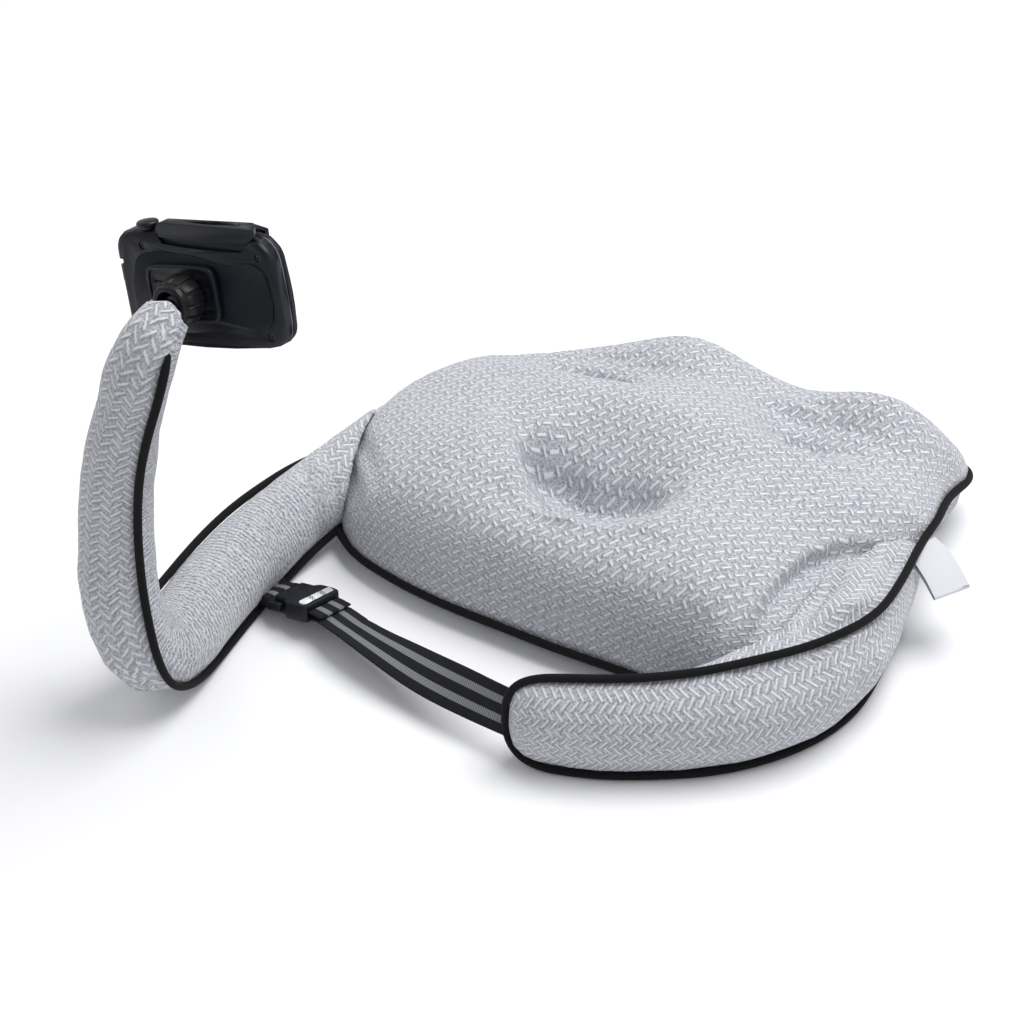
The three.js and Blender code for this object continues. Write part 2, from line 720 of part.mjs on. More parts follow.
function makeArm(sections, end) {
  const last = sections[sections.length - 1];
  const tip = last.middle.clone().addScaledVector(last.tangent, end.length);
  const rings = [...sections, ...roundedOff(last, end)].map(armRing);
  return loft(rings, sections[0].middle, tip);
}

// Piping

const armSeam = (sections, side) => sections.map((section) => armPoint(section, section[side], PIPING_OFF));

// The long arm's lower seam, up to where its piping runs under at the neck.
function lowerNeckSeam(sections) {
  const plain = NECK_PIPING.sections - NECK_PIPING.sunk.length;
  const ends = NECK_PIPING.sunk.map((sunk, i) => {
    const section = sections[plain + i];
    return armPoint(section, section.bottom, PIPING_OFF - sunk);
  });
  return [...armSeam(sections.slice(0, plain), "bottom"), ...ends];
}

// The piping along a stretch of the pad's seam, from one seam point to another.
function padSeamPath({ from, to }) {
  return Array.from({ length: to - from + 1 }, (_, k) => {
    const seam = padSeam[(from + k) % PAD.around];
    const away = vec(seam.x - PAD.x, seam.y - PAD.y, 0);
    return seam.clone().add(away.setLength(PIPING_OFF));
  });
}

// The piping over the rounded tip, from the upper seam forward and back to the lower one.
function tipPath(section) {
  const pointAt = (side, degrees) => {
    const turn = radians(degrees);
    const seam = armPoint(section, section[side], PIPING_OFF).sub(section.middle);
    return section.middle
      .clone()
      .addScaledVector(section.tangent, (ARM_TIP.length + PIPING_OFF) * Math.cos(turn))
      .addScaledVector(section.outerSide, seam.dot(section.outerSide) * Math.sin(turn))
      .addScaledVector(section.upSide, seam.dot(section.upSide) * Math.sqrt(Math.sin(turn)));
  };
  const upper = TIP_TURNS.map((degrees) => pointAt("top", degrees));
  const lower = TIP_TURNS.map((degrees) => pointAt("bottom", degrees)).reverse();
  return [...upper, pointAt("top", 0), ...lower];
}

// The one cord that runs along the pad's back, the short arm's top, its tip and its lower seam.
function outerPath(sections) {
  return [
    ...padSeamPath(PIPING_BACK),
    ...armSeam(sections.slice(SHORT_PIPING.top), "top"),
    ...tipPath(sections[sections.length - 1]),
    ...armSeam(sections.slice(SHORT_PIPING.bottom), "bottom").reverse(),
  ];
}

// Belt and buckle, in the buckle's own axes: X along the belt, Y across it, Z up

const buckleUp = BUCKLE.up.clone().projectOnPlane(BUCKLE.along).normalize();
const buckleAlong = BUCKLE.along.clone().normalize();
const buckleAcross = buckleUp.clone().cross(buckleAlong);
const atBuckle = (x, z) =>
  vec(BUCKLE.x, BUCKLE.y, BUCKLE.z).addScaledVector(buckleAlong, x).addScaledVector(buckleUp, z);
const leaning = (degrees) => vec(0, Math.cos(radians(degrees)), Math.sin(radians(degrees)));

// A half turn of webbing around a pin or bar, from its underside to its top.
function halfTurn(x, z, radius, away) {
  return HALF_TURN.map((degrees) => {
    const turn = radians(degrees);
    return atBuckle(x + away * radius * Math.cos(turn), z + radius * Math.sin(turn));
  });
}

function makeBelt() {
  const rows = smoothRows(BELT_ROUTE, BELT.stepsPerRow);
  const radius = PIN.radius + GAP + BELT.thickness / 2;
  const tail = LOOP_TAIL.map(({ x, sunk }) => atBuckle(PIN.x + x, PIN.z + radius - sunk));
  const inBuckle = [
    ...PIN.runIn.map((x) => atBuckle(PIN.x + x, PIN.z - radius)),
    ...halfTurn(PIN.x, PIN.z, radius, -1),
    ...tail,
  ];
  const points = [...rows.map(({ x, y, z }) => vec(x, y, z)), ...inBuckle];
  const across = points.map((_, i) => (i < rows.length ? leaning(rows[i].lean) : buckleAcross));
  return ribbon(points, across, BELT.width, BELT.thickness);
}

// The short strap sewn into the long arm's seam, looped around the plug's bar.
function makeArmStrap() {
  const radius = PLUG.barHeight / 2 + GAP + BELT.thickness / 2;
  const barX = PLUG.from + PLUG.bar;
  const end = vec(ARM_STRAP_END.x, ARM_STRAP_END.y, ARM_STRAP_END.z);
  const layer = (side) => [
    end.clone().addScaledVector(upward, side * radius),
    atBuckle(PLUG.from - PLUG.strapStraight, side * radius),
    atBuckle(PLUG.from, side * radius),
  ];
  const points = [...layer(-1), ...halfTurn(barX, 0, radius, 1), ...layer(1).reverse()];
  return ribbon(points, points.map(() => buckleAcross), BELT.width, BELT.thickness);
}

function makeSocket() {
  const half = SOCKET.width / 2;
  const waist = SOCKET.waistWidth / 2;
  const plan = outline([
    { x: SOCKET.from, y: -waist, round: SOCKET.waistRound },
    { x: SOCKET.waist, y: -waist, round: SOCKET.waistRound },
    { x: SOCKET.shoulder, y: -half, round: SOCKET.shoulderRound },
    { x: SOCKET.to, y: -half, round: SOCKET.round },
    { x: SOCKET.to, y: half, round: SOCKET.round },
    { x: SOCKET.shoulder, y: half, round: SOCKET.shoulderRound },
    { x: SOCKET.waist, y: waist, round: SOCKET.waistRound },
    { x: SOCKET.from, y: waist, round: SOCKET.waistRound },
  ]);
  const body = slab(plan, -SOCKET.thickness / 2, SOCKET.thickness / 2, SOCKET.edge);
  const inside = POCKET.width / 2;
  const pocket = box(POCKET.from, SOCKET.to + OVER, -inside, inside, POCKET.bottom, POCKET.top);
  const pin = postY(PIN.x, PIN.z, PIN.radius, -inside - OVER, inside + OVER, SIDES.small);
  return joined(cut(body, pocket, placedBar(GAP)), pin);
}

// The bright bar let into the socket's top, or the seat for it.
function placedBar(play) {
  const half = BUCKLE_BAR.length / 2 + play;
  const thick = BUCKLE_BAR.thickness / 2 + play;
  const bar = box(-BUCKLE_BAR.width / 2 - play, BUCKLE_BAR.width / 2 + play, -half, half, -thick, thick);
  return bar.rotateY(radians(BUCKLE_BAR.tilt)).translate(BUCKLE_BAR.x, 0, BUCKLE_BAR.z);
}

function makePlug() {
  const half = PLUG.width / 2;
  const thick = PLUG.thickness / 2;
  const base = slab(rectangle(PLUG.from, PLUG.to, -half, half, PLUG.round), -thick, thick, PLUG.edge);
  const inner = SOCKET.waistWidth / 2 + GAP;
  const wings = [-1, 1].map((side) => {
    const [near, far] = [side * inner, side * (inner + PLUG.wing)].sort((a, b) => a - b);
    const wing = rectangle(PLUG.wingFrom, PLUG.wingTo, near, far, PLUG.wingRound);
    return slab(wing, -thick, thick, PLUG.wingEdge);
  });
  const slotFrom = PLUG.from + PLUG.bar;
  const slotHalf = BELT.width / 2 + OVER;
  const slot = box(slotFrom, slotFrom + PLUG.slot, -slotHalf, slotHalf, -PLUG.thickness, PLUG.thickness);
  const roomFrom = PLUG.from - OVER;
  const rooms = [-1, 1].map((side) => {
    const [low, high] = [(side * PLUG.barHeight) / 2, side * PLUG.thickness].sort((a, b) => a - b);
    return box(roomFrom, slotFrom + OVER, -slotHalf, slotHalf, low, high);
  });
  return cut(joined(base, ...wings), slot, ...rooms);
}

// Label

function makeLabel() {
  const rows = smoothRows(LABEL_ROUTE, 2);
  const upper = rows.map(({ x, y, z }) => vec(x, y, z));
  const spread = (i) => LABEL.fold * 2 + (LABEL.opening - LABEL.fold * 2) * (1 - i / (upper.length - 1));
  const lower = upper.map((p, i) => p.clone().addScaledVector(upward, -spread(i)));
  const end = upper[upper.length - 1];
  const out = end.clone().sub(upper[upper.length - 2]).normalize();
  const fold = LABEL.foldTurns.map((degrees) =>
    end
      .clone()
      .addScaledVector(upward, LABEL.fold * (Math.sin(radians(degrees)) - 1))
      .addScaledVector(out, LABEL.fold * Math.cos(radians(degrees))),
  );
  const points = [...upper, ...fold, ...lower.reverse()];
  return ribbon(points, points.map(() => LABEL_ACROSS), LABEL.width, LABEL.thickness);
}

// Phone holder, in its own axes: X right, Y up and Z back, from the middle of its ball

// The nut's rings are round at its collar and fluted below it.
function makeNut() {
  const rings = NUT_PROFILE.map(({ z, r }, row) => {
    const depth = row < NUT.flutedRows ? NUT.fluteDepth : 0;
    return Array.from({ length: NUT.flutes }, (_, i) => i).flatMap((i) =>
      FLUTE.map(({ at, deep }) => {
        const angle = (2 * Math.PI * (i + at)) / NUT.flutes;
        const reach = r - depth * deep;
        return vec(reach * Math.cos(angle), reach * Math.sin(angle), z);
      }),
    );
  });
  const last = NUT_PROFILE[NUT_PROFILE.length - 1];
  const outside = loft(rings, vec(0, 0, NUT_PROFILE[0].z), vec(0, 0, last.z));
  const bore = postZ(0, 0, NUT.bore, NUT_PROFILE[0].z - OVER, NUT.boreTop, SIDES.fine);
  const seat = sphere(BALL.seat);
  const mouthHeight = last.z + OVER / 2 - NUT.throatAt;
  const mouth = new THREE.CylinderGeometry(NUT.mouth, NUT.throat, mouthHeight, SIDES.fine)
    .rotateX(Math.PI / 2)
    .translate(0, 0, NUT.throatAt + mouthHeight / 2);
  return cut(outside, bore, seat, mouth);
}

function makePlate() {
  const { left, right, bottom, top, back, front, round, edge } = PLATE;
  const { inset, depth } = PLATE_DISH;
  const body = slab(rectangle(left, right, bottom, top, round), front, back, edge);
  const dishShape = rectangle(left + inset, right - inset, bottom + inset, top - inset, round - inset);
  const dish = slab(dishShape, back - depth, back + OVER);
  const slots = PLATE_SLOTS.map(({ x, y }) => {
    const { width, height, depth: slotDepth } = PLATE_SLOT;
    const floor = back - depth - slotDepth;
    return box(x - width / 2, x + width / 2, y - height / 2, y + height / 2, floor, back);
  });
  const spigot = postZ(0, 0, SPIGOT.radius, front + edge, SPIGOT.top, SIDES.fine);
  return cut(joined(cut(body, dish, ...slots), spigot), sphere(BALL.seat));
}

// The notch and the step in the holder's left edge, through all its layers.
function sideCuts() {
  const { x } = SHELL_OUTLINE[0];
  const [front, back] = [SHELL.front - OVER, SHELL.back + OVER];
  return [
    box(-WIDE, x + SIDE_NOTCH.depth, SIDE_NOTCH.from, SIDE_NOTCH.to, front, back),
    box(-WIDE, x + SIDE_STEP.depth, -WIDE, SIDE_STEP.to, front, back),
  ];
}

function makeBackShell() {
  const whole = slab(outline(SHELL_OUTLINE), SHELL.split - SHELL.edge * 2, SHELL.back, SHELL.edge);
  const fieldCurve = new THREE.CatmullRomCurve3(FIELD_OUTLINE.map(({ x, y }) => vec(x, y, 0)), true);
  const fieldPoints = fieldCurve.getPoints(FIELD.steps).slice(0, -1);
  const field = new THREE.Shape(fieldPoints.map(({ x, y }) => new THREE.Vector2(x, y)));
  const raised = joined(whole, slab(field, SHELL.back - FIELD.sink, SHELL.back + FIELD.rise));
  const frontHalf = box(-WIDE, WIDE, -WIDE, WIDE, SHELL.split - WIDE, SHELL.split);
  const recess = slab(outline(RECESS_OUTLINE), SHELL.back - RECESS.depth, SHELL.back + OVER);
  const { left, right, bottom, back, front, play } = TONGUE;
  const pocket = box(left - play, right + play, bottom - play, WIDE, front - play, back + play);
  const wellBottom = SHELL.back - SCREW.wellDepth;
  const wells = SCREWS.map(({ x, y }) => postZ(x, y, SCREW.well, wellBottom, SHELL.back + OVER));
  const knobBore = postY(KNOB.x, KNOB.z, KNOB.well, KNOB_PROFILE[0].y - GAP, WIDE);
  return cut(raised, frontHalf, recess, pocket, ...sideCuts(), ...wells, knobBore);
}

const makeTrim = () => cut(slab(outline(SHELL_OUTLINE), TRIM.front, TRIM.back, TRIM.edge), ...sideCuts());

function makeFrontShell() {
  const top = TRIM.front - GAP;
  const whole = slab(outline(SHELL_OUTLINE), SHELL.front, top + SHELL.frontEdge * 2, SHELL.frontEdge);
  const backHalf = box(-WIDE, WIDE, -WIDE, WIDE, top, top + WIDE);
  const { left, right, wall, foot, lip, height, bottom, reach, root } = LEDGE;
  const section = [
    { y: bottom, z: root, round: 1 },
    { y: bottom, z: reach, round: 1.5 },
    { y: bottom + height, z: reach, round: 1 },
    { y: bottom + height, z: reach + lip, round: 1 },
    { y: bottom + wall, z: reach + lip, round: 0.5 },
    { y: bottom + wall, z: SHELL.front + OVER, round: 0 },
    { y: bottom + foot, z: SHELL.front + OVER, round: 0 },
    { y: bottom + foot, z: root, round: 0 },
  ];
  return joined(cut(whole, backHalf, ...sideCuts()), alongX(section, left, right));
}

function makePhonePad() {
  const { left, right, bottom, top, thickness, round } = PHONE_PAD;
  const back = SHELL.front - GAP;
  return slab(rectangle(left, right, bottom, top, round), back - thickness, back, thickness / 3);
}

// The jaw grips the phone's top edge and slides in the recess on a tongue.
function makeJaw() {
  const section = () => alongX(JAW_SECTION, SHELL_OUTLINE[0].x, SHELL_OUTLINE[2].x);
  const behind = slab(outline(JAW_OUTLINE), JAW.front - OVER, JAW.back + OVER);
  const gripTop = JAW_OUTLINE[4].y - JAW.topEdge;
  const grip = box(JAW.gripFrom, JAW.gripTo, JAW.gripBelow, gripTop, JAW.front - OVER, JAW.shellsTo);
  const plan = fromAbove(JAW_PLAN, JAW_SECTION[0].y - WIDE, WIDE);
  const trough = fromAbove(JAW_TROUGH_OUTLINE, JAW_TROUGH.bottom, WIDE);
  const { left, right, bottom, back, front } = TONGUE;
  const tongue = box(left, right, bottom, JAW_SECTION[3].y + OVER, front, back);
  const band = cut(shared(shared(section(), behind), plan), trough);
  return joined(band, shared(section(), grip), tongue);
}

// A flat shape in the plane of X and Z, drawn out along Y.
function fromAbove(corners, bottom, top) {
  const shape = outline(corners.map(({ x, z, round }) => ({ x, y: -z, round })));
  return slab(shape, bottom, top).rotateX(-Math.PI / 2);
}

function makeKnob() {
  const profile = KNOB_PROFILE.map(({ y, r }) => new THREE.Vector2(r, y));
  const first = new THREE.Vector2(0, KNOB_PROFILE[0].y);
  const last = new THREE.Vector2(0, KNOB_PROFILE[KNOB_PROFILE.length - 1].y);
  return new THREE.LatheGeometry([first, ...profile, last], SIDES.knob).translate(KNOB.x, 0, KNOB.z);
}

// A cross-headed screw, sunk in its well.
function makeScrew({ x, y }) {
  const bottom = SHELL.back - SCREW.wellDepth + GAP;
  const top = bottom + SCREW.height;
  const head = postZ(x, y, SCREW.head, bottom, top, SIDES.small);
  const [long, thin] = [SCREW.slotLength / 2, SCREW.slot / 2];
  const slots = [[long, thin], [thin, long]].map(([halfX, halfY]) =>
    box(x - halfX, x + halfX, y - halfY, y + halfY, top - SCREW.slotDepth, top + OVER),
  );
  return cut(head, ...slots);
}

// The whole, as a scene graph

function material(color, roughness, metalness = 0) {
  return new THREE.MeshStandardMaterial({ color, roughness, metalness });
}
const knit = material(0xc9cacd, 0.9);
const blackTape = material(0x17171a, 0.8);
const webbing = material(0x232427, 0.85);
const satin = material(0xf2f3f5, 0.45);
const buckleNylon = material(0x1b1c20, 0.5);
const brightBar = material(0xd6d9dc, 0.2, 1);
const holderPlastic = material(0x25272c, 0.45);
const nutPlastic = material(0x141518, 0.5);
const trimPlastic = material(0x6f7378, 0.4);
const softRubber = material(0x1d1e20, 0.9);
const darkSteel = material(0x0f1012, 0.4, 1);

const cushion = new THREE.Group();
function add(group, name, geometry, looks) {
  const mesh = new THREE.Mesh(geometry, looks);
  mesh.name = name;
  group.add(mesh);
  return mesh;
}

// A group whose X and Z axes point along two directions.
function turnedGroup({ x, y, z }, right, back) {
  const group = new THREE.Group();
  const axisX = right.clone().normalize();
  const axisZ = back.clone().projectOnPlane(axisX).normalize();
  const axisY = axisZ.clone().cross(axisX);
  group.quaternion.setFromRotationMatrix(new THREE.Matrix4().makeBasis(axisX, axisY, axisZ));
  group.position.set(x, y, z);
  group.updateMatrix();
  return group;
}

const holder = turnedGroup(BALL, HOLDER_RIGHT, HOLDER_BACK);
const buckle = turnedGroup(BUCKLE, BUCKLE.along, BUCKLE.up);
cushion.add(holder, buckle);
const inCushion = (geometry, group) => geometry.clone().applyMatrix4(group.matrix);

const pad = makePad();
const padAround = grown(pad, GAP);
const shortSections = armSections(SHORT_ARM, uprightFrame);
const shortArm = largestLeft(makeArm(shortSections, ARM_TIP), padAround);
const shortAround = grown(shortArm, GAP);

// The sleeve ends in a flat cut in front of the ball, with a bore for the stem.
const longSections = armSections(LONG_ARM, risingFrame);
const neckEnd = joined(
  box(-WIDE, WIDE, NECK_CUT.above, WIDE, -WIDE, NECK_CUT.flat),
  new THREE.SphereGeometry(NECK_CUT.hollow, BALL.around, BALL.rings),
);
const neckTrim = inCushion(neckEnd, holder);
const stemBore = inCushion(postZ(0, 0, STEM.radius + GAP, 0, STEM.to + GAP), holder);
const longArm = largestLeft(makeArm(longSections, NECK_END), padAround, neckTrim, stemBore);
const longAround = grown(longArm, GAP);

const trimmedCord = (points, ...neighbours) => largestLeft(cord(points, PIPING_RADIUS), ...neighbours);
const outerPiping = trimmedCord(outerPath(shortSections), padAround, shortAround, longAround);
const lowerPiping = trimmedCord(lowerNeckSeam(longSections), padAround, longAround, neckTrim);
const upperPiping = trimmedCord(armSeam(longSections, "top"), padAround, longAround, neckTrim);
const lowerAround = grown(lowerPiping, GAP);
const frontPiping = trimmedCord(padSeamPath(PIPING_FRONT), padAround, shortAround, longAround, lowerAround);

add(cushion, "pad", pad, knit);
add(cushion, "short_arm", shortArm, knit);
add(cushion, "long_arm", longArm, knit);
add(cushion, "piping_outer", outerPiping, blackTape);
add(cushion, "piping_front", frontPiping, blackTape);
add(cushion, "piping_neck_lower", lowerPiping, blackTape);
add(cushion, "piping_neck_upper", upperPiping, blackTape);

const outerAround = grown(outerPiping, GAP);
add(cushion, "belt", largestLeft(makeBelt(), shortAround, outerAround), webbing);
add(cushion, "arm_strap", largestLeft(makeArmStrap(), longAround, lowerAround), webbing);
add(cushion, "label", largestLeft(makeLabel(), padAround, shortAround, outerAround), satin);

add(buckle, "buckle_socket", makeSocket(), buckleNylon);
add(buckle, "buckle_plug", makePlug(), buckleNylon);
add(buckle, "buckle_bar", placedBar(0), brightBar);

add(holder, "ball_stem", postZ(0, 0, STEM.radius, STEM.from, STEM.to), darkSteel);
add(holder, "ball", sphere(BALL.radius), darkSteel);
add(holder, "clamp_nut", makeNut(), nutPlastic);
add(holder, "mount_plate", makePlate(), holderPlastic);
add(holder, "back_shell", makeBackShell(), holderPlastic);
add(holder, "rim_trim", makeTrim(), trimPlastic);
add(holder, "front_shell", makeFrontShell(), holderPlastic);
add(holder, "phone_pad", makePhonePad(), softRubber);
add(holder, "jaw", makeJaw(), holderPlastic);
add(holder, "side_knob", makeKnob(), holderPlastic);
SCREWS.forEach((place, i) => add(holder, `screw_${i + 1}`, makeScrew(place), darkSteel));

export default cushion;
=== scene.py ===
"""The looks of a back support cushion with a phone holder, laid out as a Blender add-on.

The cushion is a filled pad with two padded arms, black piping, a belt with a side release buckle and a
phone holder on a ball joint. Metres, +Z up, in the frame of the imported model.
"""

import math
from collections import namedtuple

import bmesh
import bpy
import numpy as np
from bpy.props import FloatProperty, FloatVectorProperty, PointerProperty
from mathutils import Matrix, Vector, noise
from mathutils.bvhtree import BVHTree
from mathutils.kdtree import KDTree


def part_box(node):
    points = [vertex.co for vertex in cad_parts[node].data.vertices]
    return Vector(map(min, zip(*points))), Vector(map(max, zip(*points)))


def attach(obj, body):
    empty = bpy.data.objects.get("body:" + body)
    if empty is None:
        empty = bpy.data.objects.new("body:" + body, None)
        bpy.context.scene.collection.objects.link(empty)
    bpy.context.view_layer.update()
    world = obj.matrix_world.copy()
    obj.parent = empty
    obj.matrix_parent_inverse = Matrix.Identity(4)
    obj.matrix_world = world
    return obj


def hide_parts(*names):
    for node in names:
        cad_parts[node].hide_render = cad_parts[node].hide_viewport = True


bl_info = {
    "name": "Back Support Cushion",
    "version": (1, 0, 0),
    "blender": (4, 5, 0),
    "location": "View3D > Sidebar > Cushion",
    "description": "Dresses a back support cushion with padded arms, a belt and a phone holder",
    "category": "Object",
}

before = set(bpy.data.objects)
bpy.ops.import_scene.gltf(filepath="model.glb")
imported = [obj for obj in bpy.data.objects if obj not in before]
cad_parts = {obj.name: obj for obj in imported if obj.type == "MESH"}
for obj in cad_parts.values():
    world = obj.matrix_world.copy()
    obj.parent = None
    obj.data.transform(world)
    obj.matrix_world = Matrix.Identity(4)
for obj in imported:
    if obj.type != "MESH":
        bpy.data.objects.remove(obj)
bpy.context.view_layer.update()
MM = 0.001

# The camera of the photograph, which is 1024 pixels square.
PHOTO_SIDE = 1024
CAMERA_AZIMUTH = 32
CAMERA_ELEVATION = 39
CAMERA_DISTANCE = 2.0
CAMERA_LENS = 98
SENSOR = 36
CAMERA_TARGET = Vector((0, 0, 0.06))
TARGET_PIXEL = (620, 500)

# Middles of the long arm's sections from its root to the neck, and the angles of its two seams.
LONG_ARM_ROWS = [
    # x, y, z, upper seam, lower seam, mean radius
    (-178, 92, 34, -8, -120, 18),
    (-188, 55, 34, -10, -120, 27),
    (-196, 10, 35, -10, -122, 30),
    (-200, -32, 36, -8, -126, 29),
    (-205, -72, 38, 4, -134, 26),
    (-210, -112, 35, 20, -138, 25),
    (-213, -152, 31, 33, -128, 25),
    (-210, -192, 31, 35, -125, 25),
    (-204, -230, 31, 35, -126, 25),
    (-198, -264, 33, 35, -136, 25),
    (-197, -291, 43, 35, -152, 25),
    (-204, -301, 73, 35, -162, 25),
    (-211, -297, 111, 35, -162, 25),
    (-211, -289, 160, 35, -158, 24),
    (-204, -285, 208, 35, -155, 24),
    (-193, -282, 250, 35, -157, 23),
    (-182, -278, 284, 35, -160, 22),
    (-176, -268, 305, 35, -160, 20),
    (-173, -255, 315, 35, -160, 18),
]
SHORT_ARM_ROWS = [
    # x, y, z, upper seam, lower seam, mean radius
    (183, 104, 38, 44, -60, 20),
    (189, 76, 38, 45, -60, 26),
    (192, 45, 39, 46, -60, 31),
    (194, 12, 40, 48, -60, 35),
    (196, -22, 40, 52, -60, 37),
    (194, -52, 39, 64, -60, 38),
    (184, -81, 37, 73, -61, 38),
    (168, -111, 36, 81, -63, 35),
    (149, -139, 35, 87, -65, 32),
    (125, -162, 34.5, 92, -67, 30),
    (98, -181, 34.5, 94, -68, 29),
    (70, -195, 34.5, 94, -70, 28),
    (42, -206, 34.5, 94, -70, 28),
]
# The inner panel's fine ribs start past the folds at the long arm's root, measured along the arm.
RIBS_FROM = 0.165
RIBS_FULL = 0.215
# Where the pad's top turns into its sides, as a share of its half width, and the height of that place.
SIDE_FROM = 0.55
SIDE_FULL = 0.85
SIDE_TOP = 0.075

# The pad's dimple as the frame has it, and with the sharper folds of the real one: millimetres, and
# degrees that the axes are turned. A low power makes a sharper middle and a longer run out.
FRAME_DIMPLE = [
    # x, y, rise, turn, left, right, near, far, power
    (-36, -34, -38, 15, 17, 26, 22, 40, 0.8),
    (2, -40, -34, 38, 30, 34, 19, 27, 0.8),
    (26, -22, -22, 55, 24, 22, 19, 24, 0.8),
]
FOLDED_DIMPLE = [
    # x, y, rise, turn, left, right, near, far, power
    (-40, -32, -44, 10, 11, 24, 18, 42, 0.78),
    (-2, -44, -42, 32, 30, 34, 14, 30, 0.78),
    (28, -24, -28, 60, 26, 24, 16, 28, 0.78),
    (-10, 4, -10, 32, 32, 32, 28, 28, 1),
]

LIP_RISE = 0.35  # how far the cloth beside a steep crease stands up, as a part of its depth
LIP_WIDEST = 12  # the half width, in millimetres, from which a crease has no such lip
LIP_PLACE = 1.9  # the lip's top, in half widths from the crease
LIP_SHARPNESS = 2
CREASE_EASING = 5  # how often the crease's depth is averaged between neighbouring points
CREASE_TAPER = 0.6  # below 1 a crease keeps its depth nearer to its ends
CREASE_END = 0.04  # the share of its length that each end's least depth is taken from
TURNED_AWAY, TURNED_TO = -0.1, 0.2  # how far cloth faces the camera: no crease to a full one
DRAWN_OUT = 0.84  # the long arm's knit is stretched along it
CORDS_THAT_MEET = {"piping_outer": "piping_neck_upper", "piping_neck_upper": "piping_outer"}
CORD_END = 0.009  # the length of a cord's end that is drawn out to its neighbour, in metres
CORD_DRAWN = 0.0045  # how far its tip would go
CORD_OUT = 0.0007  # how far the cord's cloth stands out from the frame's cord, to meet the covers

# The belt from the short arm's tip to the buckle. lean is how far its width tips up, in degrees.
BELT_WIDTH = 0.032
BELT_THICKNESS = 0.0016
BELT_ROUTE = [
    # x, y, z, lean
    (42, -206, 36, 58),
    (10, -201, 31, 48),
    (-35, -194, 25.5, 24),
    (-80, -186, 23, -3),
    (-112, -179, 21, -14),
]
BUCKLE_MIDDLE = Vector((-158, -169.5, 15.3)) * MM
BUCKLE_ALONG = Vector((0.975, -0.042, 0.2)).normalized()
BUCKLE_UP_HINT = Vector((-0.2, 0.25, 0.94))
# In the buckle, x runs along it from its middle towards the short arm and z up out of it, in metres.
PIN_X, PIN_Z = 0.0125, -0.0015
PIN_TURN = 0.0026  # from the pin's middle to the middle of the belt round it
LOOP_ENTRY = (0.014, 0.007)  # how far before the pin the belt comes in under it
LOOP_TAIL = [
    # past the pin, down from the top of the turn
    (0.004, 0),
    (0.008, 0.0005),
    (0.012, 0.0013),
    (0.016, 0.0022),
]
PLUG_BAR_X = -0.025
PLUG_TURN = 0.0026
STRAP_NEAR_BAR = 0.003  # how far before the plug's bar the strap's two layers run level
STRAP_STRAIGHT_X = -0.0355
STRAP_ROOT = Vector((-204, -160, 10.5)) * MM
BELT_STEPS = 14
JOIN_STEPS = 8

LABEL_WIDTH = 0.03
LABEL_THICKNESS = 0.0006
LABEL_ACROSS = Vector((0.06, -0.98, -0.1)).normalized()
LABEL_ROUTE = [(205, 66, 63), (217, 61, 61), (230, 54, 56), (241, 47, 50)]
LABEL_STEPS = 8
LABEL_OPENING = 0.005  # between its two layers at the seam
LABEL_FOLD = 0.0012  # the radius of its fold

# Creases, as pixels of the photograph that they pass through. Widths and depth are millimetres. A side
# with a small half width is steep, and a wide one runs out gently.
DIMPLE_FOLD = (
    (524, 418), (534, 444), (541, 472), (556, 495), (582, 510), (612, 514), (644, 508), (672, 490),
)
ARM_GROOVE = ((738, 668), (752, 642), (766, 616), (786, 588), (814, 566), (850, 553), (896, 558))
PAD_CREASES = [
    # points, half width on the line's left, on its right, depth
    (DIMPLE_FOLD, 20, 6, 13),
    (((520, 424), (531, 456), (543, 484), (560, 503)), 14, 8, 7),
    (((500, 385), (508, 408), (520, 430), (532, 452)), 9, 8, 4),
    (((548, 350), (600, 358), (650, 368), (700, 371), (745, 388), (790, 417), (862, 444)), 24, 6.5, 8),
    (((812, 410), (838, 426), (868, 436)), 9, 5, 3),
    (ARM_GROOVE, 6, 5.5, 8),
    (((700, 640), (728, 610), (748, 580)), 11, 10, 2.5),
    (((352, 430), (362, 452), (366, 480)), 8, 8, 4),
    (((340, 455), (350, 480), (352, 510)), 6, 6, 5),
]
SHORT_ARM_CREASES = [
    # points, half width on the line's left, on its right, depth
    (ARM_GROOVE, 5, 5, 7),
    (((770, 650), (778, 624), (788, 600), (806, 580)), 5, 5, 9),
    (((790, 640), (804, 614), (818, 594), (838, 580)), 5, 5, 8),
    (((816, 640), (842, 624), (866, 616), (888, 612)), 6, 5, 8),
    (((868, 570), (890, 567), (912, 572)), 5, 5, 3),
    (((862, 652), (880, 634), (900, 618)), 7, 7, 3),
    (((705, 742), (712, 728), (716, 712)), 6, 6, 1.6),
    (((850, 712), (858, 690), (860, 668)), 6, 6, 2),
    (((905, 650), (914, 628), (916, 606)), 7, 7, 2.5),
]
LONG_ARM_CREASES = [
    # points, half width on the line's left, on its right, depth
    (((302, 462), (309, 484), (314, 510), (316, 530)), 6, 6, 6),
    (((288, 474), (295, 492), (298, 514), (299, 532)), 6, 6, 4.5),
    (((270, 490), (280, 506), (285, 526), (286, 540)), 7, 7, 2.5),
    (((326, 446), (329, 466), (331, 486), (332, 508)), 5, 5, 5),
    (((166, 612), (174, 630), (184, 642)), 5, 5, 4),
    (((178, 604), (188, 622), (199, 632)), 6, 6, 2.5),
    (((88, 620), (97, 636), (110, 648)), 7, 7, 2.2),
    (((84, 560), (98, 566), (112, 562)), 8, 8, 1.8),
    (((150, 372), (162, 384), (172, 380)), 8, 8, 3),
    (((104, 392), (98, 402), (92, 420)), 9, 9, 2),
]


# Settings that a user would change


def colour(name, description, default):
    return FloatVectorProperty(name=name, description=description, subtype="COLOR", default=default)


